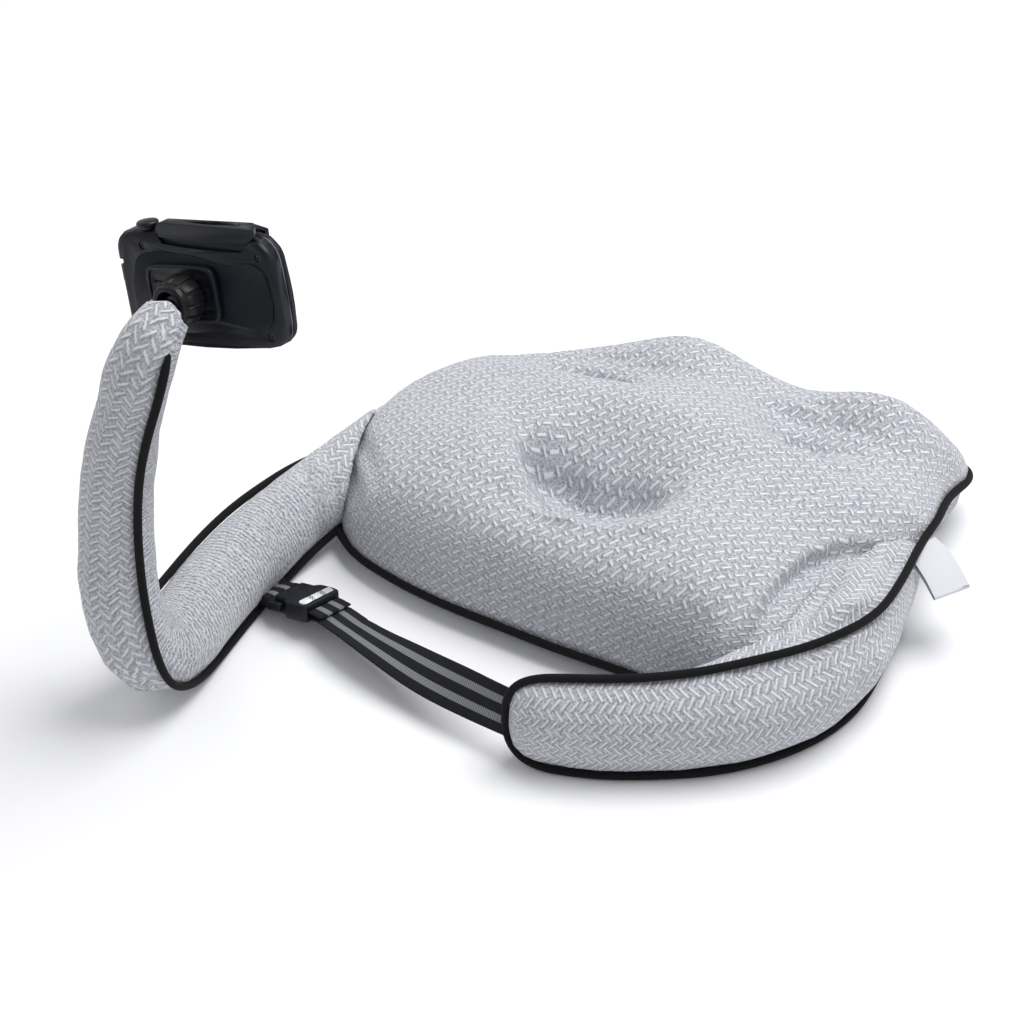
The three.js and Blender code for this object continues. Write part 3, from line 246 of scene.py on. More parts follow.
def length(name, description, default):
    return FloatProperty(name=name, description=description, unit="LENGTH", default=default)


def power(name, description, default):
    return FloatProperty(name=name, description=description, unit="POWER", default=default)


def strength(name, description, default):
    return FloatProperty(name=name, description=description, default=default)


class ClothSettings(bpy.types.PropertyGroup):
    """The knit cover of the pad and the arms"""

    light: colour("Light Yarn", "Colour of the raised stitches", (0.78, 0.79, 0.83))
    middle: colour("Middle Yarn", "Colour of the ground", (0.51, 0.52, 0.56))
    # The dark yarn colour is also painted as the shadow that each stitch throws on the ground beside it.
    dark: colour("Dark Yarn", "Colour between the stitches", (0.13, 0.135, 0.165))
    repeat_along: length("Repeat Along", "Pad knit's repeat along X", 0.0102)
    repeat_across: length("Repeat Across", "Pad knit's repeat along Y", 0.0089)
    stitch_length: length("Stitch Length", "Length of a raised stitch", 0.0069)
    stitch_width: length("Stitch Width", "Width of a raised stitch", 0.0017)
    row: length("Row", "Width of the arm knit's rows", 0.0070)
    row_pitch: length("Row Pitch", "Arm knit's repeat along a row", 0.006)
    row_stitch: length("Row Stitch", "Width of the arm knit's stitches", 0.0014)
    rib: length("Rib", "Pitch of the inner panel's fine ribs", 0.0029)
    voxel: length("Mesh Size", "Size of the cover's mesh", 0.005)
    pressure: strength("Filling", "How hard the filling presses out", 4.0)


class TrimSettings(bpy.types.PropertyGroup):
    """The piping, the belt and the label"""

    tape: colour("Piping", "Colour of the piping", (0.004, 0.004, 0.005))
    webbing: colour("Webbing", "Colour of the belt", (0.012, 0.0125, 0.016))
    stripe: colour("Stripe", "Colour of the belt's two stripes", (0.27, 0.28, 0.285))
    satin: colour("Label", "Colour of the blank label", (0.62, 0.63, 0.67))
    stripe_middle: length("Stripe Place", "From the belt's middle to a stripe's", 0.0062)
    stripe_width: length("Stripe Width", "Width of a stripe", 0.0052)


class HolderSettings(bpy.types.PropertyGroup):
    """The phone holder and the buckle"""

    plastic: colour("Plastic", "Colour of the holder", (0.0035, 0.0045, 0.0085))
    nylon: colour("Buckle", "Colour of the buckle", (0.004, 0.0046, 0.0075))
    rim: colour("Rim", "Colour of the grey rim", (0.10, 0.105, 0.115))
    steel: colour("Steel", "Colour of the dark steel", (0.05, 0.05, 0.055))
    edge: length("Edge", "Rounding of moulded edges", 0.0004)


class StageSettings(bpy.types.PropertyGroup):
    """The floor and the lights"""

    floor: colour("Floor", "Colour of the floor", (0.90, 0.90, 0.91))
    sky: strength("Sky", "Strength of the light all round", 0.42)
    key: power("Key Light", "Power of the main soft light", 48.0)
    fill: power("Fill Light", "Power of the filling light", 8.5)
    reach: length("Floor Size", "Half the floor's side", 12.0)


def settings():
    return bpy.context.scene.cushion_settings


# Shader maths


class Wire:
    """A node's output socket, on which Python's operators add Math nodes."""

    def __init__(self, finish, socket):
        self.finish = finish
        self.socket = socket

    def __add__(self, other):
        return self.finish.maths("ADD", self, other)

    __radd__ = __add__

    def __sub__(self, other):
        return self.finish.maths("SUBTRACT", self, other)

    def __rsub__(self, other):
        return self.finish.maths("SUBTRACT", other, self)

    def __mul__(self, other):
        return self.finish.maths("MULTIPLY", self, other)

    __rmul__ = __mul__

    def __truediv__(self, other):
        return self.finish.maths("DIVIDE", self, other)

    def __abs__(self):
        return self.finish.maths("ABSOLUTE", self)

    def __gt__(self, other):
        return self.finish.maths("GREATER_THAN", self, other)

    def fraction(self):
        return self.finish.maths("FRACT", self)

    def sine(self):
        return self.finish.maths("SINE", self)

    def root(self):
        return self.finish.maths("SQRT", self)

    def at_least(self, other):
        return self.finish.maths("MAXIMUM", self, other)

    def ramp(self, low, high):
        """0 at low and 1 at high, smooth between them."""
        node = self.finish.node(
            "ShaderNodeMapRange",
            {"Value": self, "From Min": low, "From Max": high},
            interpolation_type="SMOOTHSTEP",
        )
        return Wire(self.finish, node.outputs["Result"])


class Finish:
    """A material and the few calls that its nodes are made with."""

    def __init__(self, name, **uniform):
        self.material = bpy.data.materials.new(name)
        self.material.use_nodes = True
        self.tree = self.material.node_tree
        self.shader = self.tree.nodes["Principled BSDF"]
        for key, value in uniform.items():
            self.shader.inputs[key.replace("_", " ")].default_value = value

    def feed(self, socket, value):
        if isinstance(value, Wire):
            self.tree.links.new(value.socket, socket)
        elif hasattr(value, "__len__") and len(value) == 3 and len(socket.default_value) == 4:
            socket.default_value = (*value, 1)
        else:
            socket.default_value = value

    def node(self, kind, inputs=None, **choices):
        node = self.tree.nodes.new(kind)
        for key, value in choices.items():
            setattr(node, key, value)
        for key, value in (inputs or {}).items():
            self.feed(node.inputs[key], value)
        return node

    def maths(self, operation, *values):
        node = self.node("ShaderNodeMath", operation=operation)
        for socket, value in zip(node.inputs, values):
            self.feed(socket, value)
        return Wire(self, node.outputs[0])

    def mix(self, factor, first, second):
        node = self.node("ShaderNodeMix", data_type="RGBA")
        colours = [socket for socket in node.inputs if socket.type == "RGBA"]
        self.feed(node.inputs["Factor"], factor)
        self.feed(colours[0], first)
        self.feed(colours[1], second)
        return Wire(self, next(socket for socket in node.outputs if socket.type == "RGBA"))

    def laid(self):
        """The weave's place on the cloth in metres, along and across, and the share of fine ribs."""
        place = self.node("ShaderNodeAttribute", attribute_name="weave")
        parts = self.node("ShaderNodeSeparateXYZ", {"Vector": Wire(self, place.outputs["Vector"])})
        return [Wire(self, socket) for socket in parts.outputs]

    def place(self):
        return Wire(self, self.node("ShaderNodeTexCoord").outputs["Object"])

    def along(self, origin, direction):
        """How far a place is from an origin in one direction, in metres."""
        away = self.node("ShaderNodeVectorMath", operation="SUBTRACT")
        self.feed(away.inputs[0], self.place())
        away.inputs[1].default_value = origin
        node = self.node("ShaderNodeVectorMath", operation="DOT_PRODUCT")
        self.feed(node.inputs[0], Wire(self, away.outputs[0]))
        node.inputs[1].default_value = direction.normalized()
        return Wire(self, node.outputs["Value"])

    def noise(self, size, detail=2.0, roughness=0.5, stretch=(1, 1, 1)):
        """Noise from 0 to 1 with specks of about that size in metres."""
        moved = self.node("ShaderNodeMapping", {"Vector": self.place(), "Scale": stretch})
        place = Wire(self, moved.outputs[0])
        inputs = {"Vector": place, "Scale": 1 / size, "Detail": detail, "Roughness": roughness}
        return Wire(self, self.node("ShaderNodeTexNoise", inputs).outputs["Fac"])

    def raise_by(self, height, metres):
        """A bump whose height runs from 0 to 1, that many metres tall."""
        node = self.node("ShaderNodeBump", {"Height": height, "Distance": metres, "Strength": 1.0})
        self.feed(self.shader.inputs["Normal"], Wire(self, node.outputs[0]))

    def set(self, name, value):
        self.feed(self.shader.inputs[name], value)


KNIT_TURN = 4  # degrees that the pad's knit is turned from X
LONG_STITCH_LEAN = 43
SHORT_STITCH_LEAN = -36
SHORT_STITCH = 0.62  # a short stitch's length, as a part of a long one's
THIN_STITCH = 0.92  # a short stitch's width, as a part of a long one's
ROW_STITCH_LEAN = 55  # degrees between an arm's stitches and its length
ROW_OVERLAP = 1.04  # how far an arm's stitches reach past their row


def cell(value, pitch, shift=0.0):
    """How far a place is from the middle of its cell."""
    return ((value / pitch + shift).fraction() - 0.5) * pitch


def stitch(along, across, length, width, soft):
    """1 on a round-ended stitch and 0 off it."""
    past_end = (abs(along) - (length - width) / 2).at_least(0)
    reach = (past_end * past_end + across * across).root()
    return 1 - reach.ramp(width / 2 - soft, width / 2 + soft)


def waves(place, pitch):
    """Even waves from 0 to 1 along a place in metres."""
    return (place * (2 * math.pi / pitch)).sine() * 0.5 + 0.5


def turned(u, v, degrees):
    cosine, sine = math.cos(math.radians(degrees)), math.sin(math.radians(degrees))
    return u * cosine + v * sine, v * cosine - u * sine


def crossed_stitches(u, v, cloth):
    """The pad's knit: long stitches that lean one way and short ones that lean the other, turn about."""
    soft = cloth.stitch_width * 0.3
    u, v = turned(u, v, KNIT_TURN)
    one = turned(cell(u, cloth.repeat_along), cell(v, cloth.repeat_across), LONG_STITCH_LEAN)
    other = turned(cell(u, cloth.repeat_along, 0.5), cell(v, cloth.repeat_across, 0.5), SHORT_STITCH_LEAN)
    long_one = stitch(*one, cloth.stitch_length, cloth.stitch_width, soft)
    short_one = stitch(*other, cloth.stitch_length * SHORT_STITCH, cloth.stitch_width * THIN_STITCH, soft)
    return long_one.at_least(short_one)


def herringbone(u, v, cloth):
    """The arms' knit: rows of stitches along the arm that lean one way, then the other."""
    row = cloth.row
    pitch = cloth.row_pitch
    odd = (v / (row * 2)).fraction() > 0.5
    sign = odd * 2 - 1
    across_row = cell(v, row)
    along_row = ((u / pitch + odd * 0.5).fraction() - 0.5) * pitch
    lean = math.radians(ROW_STITCH_LEAN)
    along = along_row * math.cos(lean) + across_row * sign * math.sin(lean)
    across = across_row * math.cos(lean) - along_row * sign * math.sin(lean)
    length = row / math.sin(lean) * ROW_OVERLAP
    return stitch(along, across, length, cloth.row_stitch, cloth.row_stitch * 0.4)


def knit(name, pattern):
    """Heather grey knit with light raised stitches. Where the weave says so, it has fine ribs instead."""
    cloth = settings().cloth
    look = Finish(name, Roughness=0.92, Sheen_Weight=0.25, Sheen_Roughness=0.6, Specular_IOR_Level=0.15)
    u, v, fine = look.laid()
    waver, drift = 0.0014, 0.003
    u = u + (look.noise(0.014) - 0.5) * waver + (look.noise(0.035) - 0.5) * drift
    v = v + (look.noise(0.011) - 0.5) * waver
    speck = look.noise(0.0017, 4.0, 0.7)
    blotch = look.noise(0.0045, 2.0)
    patches = look.noise(0.05)
    stitches = pattern(u, v, cloth)
    shade = stitches * (look.noise(0.004).ramp(0.25, 0.62) * 0.18 + speck * 0.24 + 0.64)
    # The shadow that each stitch throws on the ground beside it.
    shadow = 0.0009
    beside = pattern(u + shadow, v + shadow, cloth)
    wave = (u / cloth.rib + (look.noise(0.007) - 0.5) * 1.7) * (2 * math.pi)
    rib = wave.sine() * 0.5 + 0.5
    broken = look.noise(0.0035).ramp(0.32, 0.55)
    rib_light = rib.ramp(0.45, 0.95) * broken
    ground = look.mix(speck.ramp(0.36, 0.56) * 0.55 + blotch * 0.2 + 0.2, cloth.dark, cloth.middle)
    ground = look.mix(speck.ramp(0.50, 0.66) * 0.35, ground, cloth.light)
    shadowed = look.mix(beside * (1 - stitches) * 0.4, ground, cloth.dark)
    coarse = look.mix(shade * 0.92, shadowed, cloth.light)
    ribbed_ground = rib.ramp(0.0, 0.6) * 0.45 + speck.ramp(0.36, 0.56) * 0.5
    fine_ground = look.mix(ribbed_ground, cloth.dark, cloth.middle)
    fine_cloth = look.mix(rib_light * 0.34 + speck.ramp(0.50, 0.68) * 0.5, fine_ground, cloth.light)
    both = look.mix(fine, coarse, fine_cloth)
    look.set("Base Color", look.mix(patches.ramp(0.3, 0.7) * 0.10, both, cloth.middle))
    height = stitches * 0.75 + speck * 0.35
    fine_height = rib * broken * 0.55 + speck * 0.35
    look.raise_by(height * (1 - fine) + fine_height * fine, 0.0008)
    return look.material


def woven_tape():
    trim = settings().trim
    look = Finish("black_tape", Roughness=0.85, Sheen_Weight=0.03, Specular_IOR_Level=0.15)
    thread = look.noise(0.0007, 2.0)
    worn = look.noise(0.012)
    look.set("Base Color", look.mix(thread * 0.35 + worn * 0.15, trim.tape, (0.016, 0.016, 0.019)))
    look.raise_by(thread, 0.0004)
    return look.material


def webbing():
    """Ribbed black webbing with two grey stripes along it."""
    trim = settings().trim
    look = Finish("webbing", Roughness=0.8, Sheen_Weight=0.04, Specular_IOR_Level=0.2)
    along, across, _ = look.laid()
    off_stripe = abs(abs(across) - trim.stripe_middle)
    half_stripe, blurred = trim.stripe_width / 2, 0.0002
    stripe = 1 - off_stripe.ramp(half_stripe - blurred, half_stripe + blurred)
    rib = waves(along, 0.0019)
    end = waves(across, 0.0011)
    speck = look.noise(0.0009, 2.0)
    dark = look.mix(rib * 0.5 + speck * 0.4, (0.004, 0.004, 0.005), trim.webbing)
    pale = look.mix(rib * 0.65 + speck * 0.35, (0.085, 0.09, 0.095), trim.stripe)
    look.set("Base Color", look.mix(stripe, dark, pale))
    look.raise_by(rib * 0.6 + end * 0.25 + speck * 0.15, 0.0004)
    return look.material


def satin():
    trim = settings().trim
    look = Finish("satin", Roughness=0.42, Sheen_Weight=0.2, Specular_IOR_Level=0.4)
    along, across, _ = look.laid()
    thread = waves(across, 0.0006)
    cloudy = look.noise(0.01)
    look.set("Base Color", look.mix(thread * 0.06 + cloudy * 0.08, trim.satin, (0.52, 0.54, 0.60)))
    look.set("Roughness", cloudy * 0.15 + 0.36)
    look.raise_by(thread * 0.5 + (along * (2 * math.pi / 0.0011)).sine() * 0.25, 0.00012)
    return look.material


def moulded(name, colour, roughness, grain=0.0007, depth=0.00006, lighter=1.9):
    """Moulded plastic: a fine grain, a little unevenness in its gloss and slightly lighter patches here and
    there.
    """
    look = Finish(name, Specular_IOR_Level=0.3)
    speck = look.noise(grain, 3.0, 0.6)
    smear = look.noise(0.018, 2.0)
    pale = tuple(min(part * lighter + 0.002, 1) for part in colour)
    look.set("Base Color", look.mix(speck * 0.25 + smear * 0.35, colour, pale))
    look.set("Roughness", smear * 0.16 + speck * 0.08 + (roughness - 0.12))
    look.raise_by(speck, depth)
    return look.material


def bright_bar():
    """A bright bar with two dull hatched bands across it."""
    look = Finish("bright_bar", Metallic=0.35, Specular_IOR_Level=0.6)
    brushed = look.noise(0.0006, 2.0, 0.6)
    lengthwise, crosswise, _ = buckle_axes()
    band_middle, band_inner, band_outer = 0.0056, 0.0018, 0.0023
    off_band = abs(abs(look.along(BUCKLE_MIDDLE, crosswise)) - band_middle)
    band = 1 - off_band.ramp(band_inner, band_outer)
    hatch = waves(look.along(BUCKLE_MIDDLE, lengthwise + crosswise), 0.0016)
    # The bar's pale parts are near white and only partly metallic: the pale metal's own colour, and a painted
    # reflection that keeps them bright from every side.
    bright = look.mix(brushed * 0.3, (0.90, 0.91, 0.93), (0.66, 0.67, 0.69))
    dull = look.mix(hatch, (0.16, 0.165, 0.17), (0.55, 0.56, 0.57))
    look.set("Base Color", look.mix(band, bright, dull))
    look.set("Roughness", band * 0.25 + brushed * 0.1 + 0.2)
    look.raise_by(hatch * band, 0.0001)
    return look.material


def dark_steel():
    look = Finish("dark_steel", Metallic=1.0)
    smear = look.noise(0.006, 2.0)
    scratch = look.noise(0.0009, 2.0, 0.6, (1, 1, 0.15))
    look.set("Base Color", look.mix(smear * 0.5, settings().holder.steel, (0.11, 0.11, 0.115)))
    look.set("Roughness", smear * 0.15 + scratch * 0.12 + 0.24)
    look.raise_by(scratch, 0.00003)
    return look.material


# Mesh helpers

SAME_POINT = 1e-6
CLOTH_STEPS = 20
CLOTH_QUALITY = 4
HELD_LEVELS = 10  # how finely the seams' hold on the cloth is told apart


def points_of(mesh):
    co = np.empty(len(mesh.vertices) * 3)
    mesh.vertices.foreach_get("co", co)
    return co.reshape(-1, 3)


def normals_of(mesh):
    normals = np.empty(len(mesh.vertices) * 3)
    mesh.vertex_normals.foreach_get("vector", normals)
    return normals.reshape(-1, 3)


def move_to(mesh, co):
    mesh.vertices.foreach_set("co", co.astype(np.float32).ravel())
    mesh.update()


def linked(name, mesh):
    piece = bpy.data.objects.new(name, mesh)
    bpy.context.scene.collection.objects.link(piece)
    return piece


def copied(node, name):
    """A new piece with a copy of a CAD node's mesh, its double points merged and its materials cleared."""
    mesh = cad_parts[node].data.copy()
    mesh.materials.clear()
    work = bmesh.new()
    work.from_mesh(mesh)
    bmesh.ops.remove_doubles(work, verts=work.verts, dist=SAME_POINT)
    work.to_mesh(mesh)
    work.free()
    return linked(name, mesh)


def settled(piece):
    """Applies all of a piece's modifiers to its mesh."""
    graph = bpy.context.evaluated_depsgraph_get()
    graph.update()
    mesh = bpy.data.meshes.new_from_object(piece.evaluated_get(graph))
    piece.modifiers.clear()
    old = piece.data
    piece.data = mesh
    bpy.data.meshes.remove(old)
    piece.data.name = piece.name
    return piece


def smooth_shaded(piece):
    piece.data.shade_smooth()
    return piece


def finished(piece, body, slot, material, *nodes):
    """Gives a piece its material, hangs it on the body that it rides on and hides the CAD nodes that it
    stands for.
    """
    piece.data.materials.clear()
    piece.data.materials.append(material)
    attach(piece, body)
    if nodes:
        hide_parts(*nodes)
    return piece


def nearness(points, nodes, full, none):
    """1 for points within full of the nodes' surfaces, 0 past none, in metres."""
    seam = np.concatenate([dense_points(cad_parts[node].data) for node in nodes])
    tree = KDTree(len(seam))
    for i, point in enumerate(seam):
        tree.insert(point, i)
    tree.balance()
    away = np.array([tree.find(point)[2] for point in points])
    return np.clip((none - away) / (none - full), 0, 1)


def dense_points(mesh):
    """A mesh's corners and the middles of its edges."""
    co = points_of(mesh)
    ends = np.array([edge.vertices[:] for edge in mesh.edges])
    return np.concatenate([co, co[ends].mean(axis=1)])


def fine_mesh(piece, voxel, smoothing):
    """An even mesh over a soft piece, its steps smoothed out."""
    remesh = piece.modifiers.new("Remesh", "REMESH")
    remesh.mode = "VOXEL"
    remesh.voxel_size = voxel
    smooth = piece.modifiers.new("Smooth", "SMOOTH")
    smooth.factor = 0.5
    smooth.iterations = smoothing
    return settled(piece)


def puffed(piece, held, cap, drawn):
    """Draws a soft piece in, blows it up against its seams, which hold, and stops each point at the cap."""
    start = points_of(piece.data)
    inner = start - normals_of(piece.data) * (drawn * (1 - held))[:, None]
    inner[:, 2] = np.maximum(inner[:, 2], 0)
    move_to(piece.data, inner)
    group = piece.vertex_groups.new(name="held")
    for level in range(1, HELD_LEVELS + 1):
        chosen = np.nonzero(np.round(held * HELD_LEVELS) == level)[0]
        group.add([int(i) for i in chosen], level / HELD_LEVELS, "REPLACE")
    cloth = piece.modifiers.new("Cloth", "CLOTH")
    cloth.settings.vertex_group_mass = "held"
    cloth.settings.use_pressure = True
    cloth.settings.uniform_pressure_force = settings().cloth.pressure
    cloth.settings.effector_weights.gravity = 0
    cloth.settings.quality = CLOTH_QUALITY
    cloth.point_cache.frame_end = CLOTH_STEPS
    scene = bpy.context.scene
    for step in range(1, CLOTH_STEPS + 1):
        scene.frame_set(step)
    graph = bpy.context.evaluated_depsgraph_get()
    blown = points_of(piece.evaluated_get(graph).data)
    piece.modifiers.clear()
    piece.vertex_groups.clear()
    scene.frame_set(1)
    moved = blown - start
    length = np.linalg.norm(moved, axis=1)
    share = np.minimum(1, cap / np.maximum(length, 1e-9))
    move_to(piece.data, start + moved * share[:, None])


def hugging(piece, node, held, most):
    """Draws a cover back out to its CAD node: onto it at the seams, and elsewhere no further in than most."""
    tree = BVHTree.FromObject(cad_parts[node], bpy.context.evaluated_depsgraph_get())
    co = points_of(piece.data)
    normals = normals_of(piece.data)
    for i, point in enumerate(co):
        surface = tree.find_nearest(point)[0]
        out = Vector(surface) - Vector(point)
        depth = out.length if out.dot(Vector(normals[i])) > 0 else -out.length
        if depth > 0:
            share = max(held[i], (depth - most) / depth)
            co[i] += np.array(out) * max(share, 0)
    move_to(piece.data, co)


def subdivided(piece, levels=1):
    layer = piece.modifiers.new("Subdivision", "SUBSURF")
    layer.levels = levels
    layer.render_levels = levels
    return settled(piece)


# Places by the photograph

FOCAL_PIXELS = CAMERA_LENS / SENSOR * PHOTO_SIDE


def camera_axes():
    """The camera's place, and its forward, right and up directions, level with the floor."""
    azimuth, elevation = math.radians(CAMERA_AZIMUTH), math.radians(CAMERA_ELEVATION)
    level = math.cos(elevation)
    forward = Vector((-math.sin(azimuth) * level, math.cos(azimuth) * level, -math.sin(elevation)))
    right = Vector((math.cos(azimuth), math.sin(azimuth), 0))
    return CAMERA_TARGET - forward * CAMERA_DISTANCE, forward, right, right.cross(forward)


def pixels_of(points):
    """Where points fall in the photograph, and their depth."""
    place, forward, right, up = (np.array(v) for v in camera_axes())
    away = points - place
    depth = away @ forward
    x = TARGET_PIXEL[0] + FOCAL_PIXELS * (away @ right) / depth
    y = TARGET_PIXEL[1] - FOCAL_PIXELS * (away @ up) / depth
    return np.stack([x, y], axis=1), depth


def eased(mesh, moves, times):
    """Averages each point's move with its neighbours' moves, so that a narrow trough stays smooth."""
    edges = np.empty(len(mesh.edges) * 2, int)
    mesh.edges.foreach_get("vertices", edges)
    edges = edges.reshape(-1, 2)
    count = np.bincount(edges.ravel(), minlength=len(moves))[:, None] + 1
    for _ in range(times):
        total = moves.copy()
        np.add.at(total, edges[:, 0], moves[edges[:, 1]])
        np.add.at(total, edges[:, 1], moves[edges[:, 0]])
        moves = total / count
    return moves


def creased(piece, creases):
    """Presses soft troughs along lines of the photograph into the side of a piece that faces the camera."""
    co = points_of(piece.data)
    normals = normals_of(piece.data)
    pixels, depth = pixels_of(co)
    place = np.array(camera_axes()[0])
    to_camera = place - co
    to_camera /= np.linalg.norm(to_camera, axis=1)[:, None]
    facing = np.einsum("ij,ij->i", normals, to_camera)
    facing = np.clip((facing - TURNED_AWAY) / (TURNED_TO - TURNED_AWAY), 0, 1)
    per_pixel = depth / FOCAL_PIXELS
    press = np.zeros(len(co))
    for line, left, right, deep in creases:
        line = np.array(line, float)
        steps = np.diff(line, axis=0)
        lengths = np.linalg.norm(steps, axis=1)
        total = lengths.sum()
        best = np.full(len(co), np.inf)
        along = np.zeros(len(co))
        side = np.zeros(len(co))
        for i, (start, step) in enumerate(zip(line, steps)):
            t = np.clip(((pixels - start) @ step) / (step @ step), 0, 1)
            offset = pixels - start - t[:, None] * step
            away = np.linalg.norm(offset, axis=1)
            closer = away < best
            best = np.where(closer, away, best)
            side = np.where(closer, offset @ np.array([step[1], -step[0]]), side)
            along = np.where(closer, (lengths[:i].sum() + t * lengths[i]) / total, along)
        taper = np.sin(np.pi * np.clip(along, CREASE_END, 1 - CREASE_END)) ** CREASE_TAPER
        half_width = np.where(side > 0, left, right) * MM
        across = best * per_pixel / half_width
        lip = LIP_RISE * np.clip(LIP_WIDEST * MM / half_width - 1, 0, 1)
        trough = np.exp(-(across**2)) - lip * np.exp(-((across - LIP_PLACE) ** 2) * LIP_SHARPNESS)
        press += deep * MM * taper * trough
    moves = normals * (press * facing)[:, None]
    move_to(piece.data, co - eased(piece.data, moves, CREASE_EASING))


def lumpy(piece):
    """Low soft lumps, as a filled tube of cloth has."""
    co = points_of(piece.data)
    lumps = np.array([noise.noise(Vector(point) / LUMP_SIZE) for point in co])
    move_to(piece.data, co + normals_of(piece.data) * (lumps * LUMP_HEIGHT)[:, None])


def lay_weave(piece, laid):
    """Stores the weave's place at each corner of each face."""
    layer = piece.data.attributes.new("weave", "FLOAT_VECTOR", "CORNER")
    layer.data.foreach_set("vector", laid.astype(np.float32).ravel())


def corner_points(mesh):
    corners = np.empty(len(mesh.loops), int)
    mesh.loops.foreach_get("vertex_index", corners)
    return corners


def over_the_pad(piece):
    """Lays the weave flat over the pad's top, on down its sides and back under it."""
    co = points_of(piece.data)
    low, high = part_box("pad")
    middle = np.array([(low.x + high.x) / 2, (low.y + high.y) / 2])
    half = np.array([(high.x - low.x) / 2, (high.y - low.y) / 2])
    out = (co[:, :2] - middle) / half
    way_out = np.sign(out) * np.abs(out) ** 3
    way_out /= np.maximum(np.linalg.norm(way_out, axis=1), 1e-6)[:, None]
    edge = np.clip((np.max(np.abs(out), axis=1) - SIDE_FROM) / (SIDE_FULL - SIDE_FROM), 0, 1)
    drop = np.clip(SIDE_TOP - co[:, 2], 0, None) * edge
    corners = corner_points(piece.data)
    faces = piece.data.polygons
    turned_under = np.array([-1.0 if face.normal.z < 0 else 1.0 for face in faces])
    run = drop[corners] * np.repeat(turned_under, [len(face.vertices) for face in faces])
    flat = co[corners, :2] + way_out[corners] * run[:, None]
    lay_weave(piece, np.concatenate([flat, np.zeros((len(flat), 1))], axis=1))


def arm_line(rows, steps=8):
    """A dense line through an arm's rows, with its distance along, seam angles and radius."""
    table = np.array(rows, float)
    table[:, :3] *= MM
    places = np.arange(len(rows))
    fine = np.linspace(0, len(rows) - 1, (len(rows) - 1) * steps + 1)
    line = np.stack([np.interp(fine, places, table[:, k]) for k in range(6)], axis=1)
    kernel = np.ones(steps) / steps
    for k in range(3):
        padded = np.pad(line[:, k], steps // 2, mode="reflect", reflect_type="odd")
        line[:, k] = np.convolve(padded, kernel, mode="same")[steps // 2 : steps // 2 + len(line)]
    run = np.concatenate([[0], np.cumsum(np.linalg.norm(np.diff(line[:, :3], axis=0), axis=1))])
    return line, run


def round_the_arm(piece, rows, outer_of, ribbed):
    """Lays the weave along an arm and round it. The inner panel between the seams may have fine ribs."""
    co = points_of(piece.data)
    line, run = arm_line(rows)
    middles = line[:, :3]
    tangents = np.gradient(middles, axis=0)
    tangents /= np.linalg.norm(tangents, axis=1)[:, None]
    nearest = np.array([np.argmin(np.sum((middles - p) ** 2, axis=1)) for p in co])
    tangent = tangents[nearest]
    away = co - middles[nearest]
    past = np.einsum("ij,ij->i", away, tangent)
    outer = outer_of(tangent)
    upper = np.cross(outer, tangent)
    if outer_of is level_outer:
        upper = np.cross(tangent, outer)
    angle = np.arctan2(np.einsum("ij,ij->i", away, upper), np.einsum("ij,ij->i", away, outer))
    corners = corner_points(piece.data)
    # Each face takes its corners' angles on the side of its first corner, so that none runs back round.
    faces = piece.data.polygons
    firsts = np.array([face.loop_start for face in faces])
    reference = np.repeat(angle[corners[firsts]], [len(face.vertices) for face in faces])
    turned_angle = reference + (angle[corners] - reference + np.pi) % (2 * np.pi) - np.pi
    along = (run[nearest] + past)[corners] * (DRAWN_OUT if ribbed else 1)
    across = turned_angle * (line[nearest, 5] * MM)[corners]
    fine = np.zeros(len(corners))
    if ribbed:
        top = np.radians(line[nearest, 3])
        bottom = np.radians(line[nearest, 4])
        from_top = (angle - top) % (2 * np.pi)
        inner = (from_top < (bottom - top) % (2 * np.pi)).astype(float)
        started = np.clip((run[nearest] - RIBS_FROM) / (RIBS_FULL - RIBS_FROM), 0, 1)
        fine = (inner * started)[corners]
    lay_weave(piece, np.stack([along, across, fine], axis=1))


def level_outer(tangent):
    """The short arm's outer side: level and square to the arm."""
    outer = np.cross(np.array([0, 0, 1.0]), tangent)
    return outer / np.linalg.norm(outer, axis=1)[:, None]


def left_outer(tangent):
    """The long arm's outer side: the way of -X, made square to the arm."""
    left = np.array([-1.0, 0, 0])
    outer = left + tangent * tangent[:, :1]
    return outer / np.linalg.norm(outer, axis=1)[:, None]


# Soft pieces

# How a cover is made, in metres: voxel is a share of the chosen mesh size. Its seams, and its foot on the
# floor, hold it fully up to held and not at all past free. When it's fitted again they let go at fitted.
Cover = namedtuple("Cover", "voxel smoothing held free fitted foot drawn cap slack")
PAD_COVER = Cover(1.0, 6, 0.004, 0.012, 0.010, foot=0.003, drawn=0.002, cap=0.004, slack=0.0008)
ARM_COVER = Cover(0.9, 5, 0.003, 0.010, 0.008, foot=0.002, drawn=0.0015, cap=0.003, slack=0.0006)
LUMP_SIZE, LUMP_HEIGHT = 0.03, 0.0012
FOLDS_FROM, FOLDS_FULL = 0.02, 0.035  # heights between which the dimple's sharper folds set in


def cover(node, name, seams, how):
    """A CAD node's cover: an even mesh, blown up between its seams, smoothed and drawn back to the node."""
    piece = fine_mesh(copied(node, name), settings().cloth.voxel * how.voxel, how.smoothing)
    co = points_of(piece.data)
    held = nearness(co, seams, how.held, how.free)
    held = np.maximum(held, np.clip((how.held - co[:, 2]) / how.foot, 0, 1))
    puffed(piece, held, how.cap, how.drawn)
    hugging(piece, node, held, how.slack)
    subdivided(piece)
    hugging(piece, node, nearness(points_of(piece.data), seams, how.held, how.fitted), how.slack)
    return piece


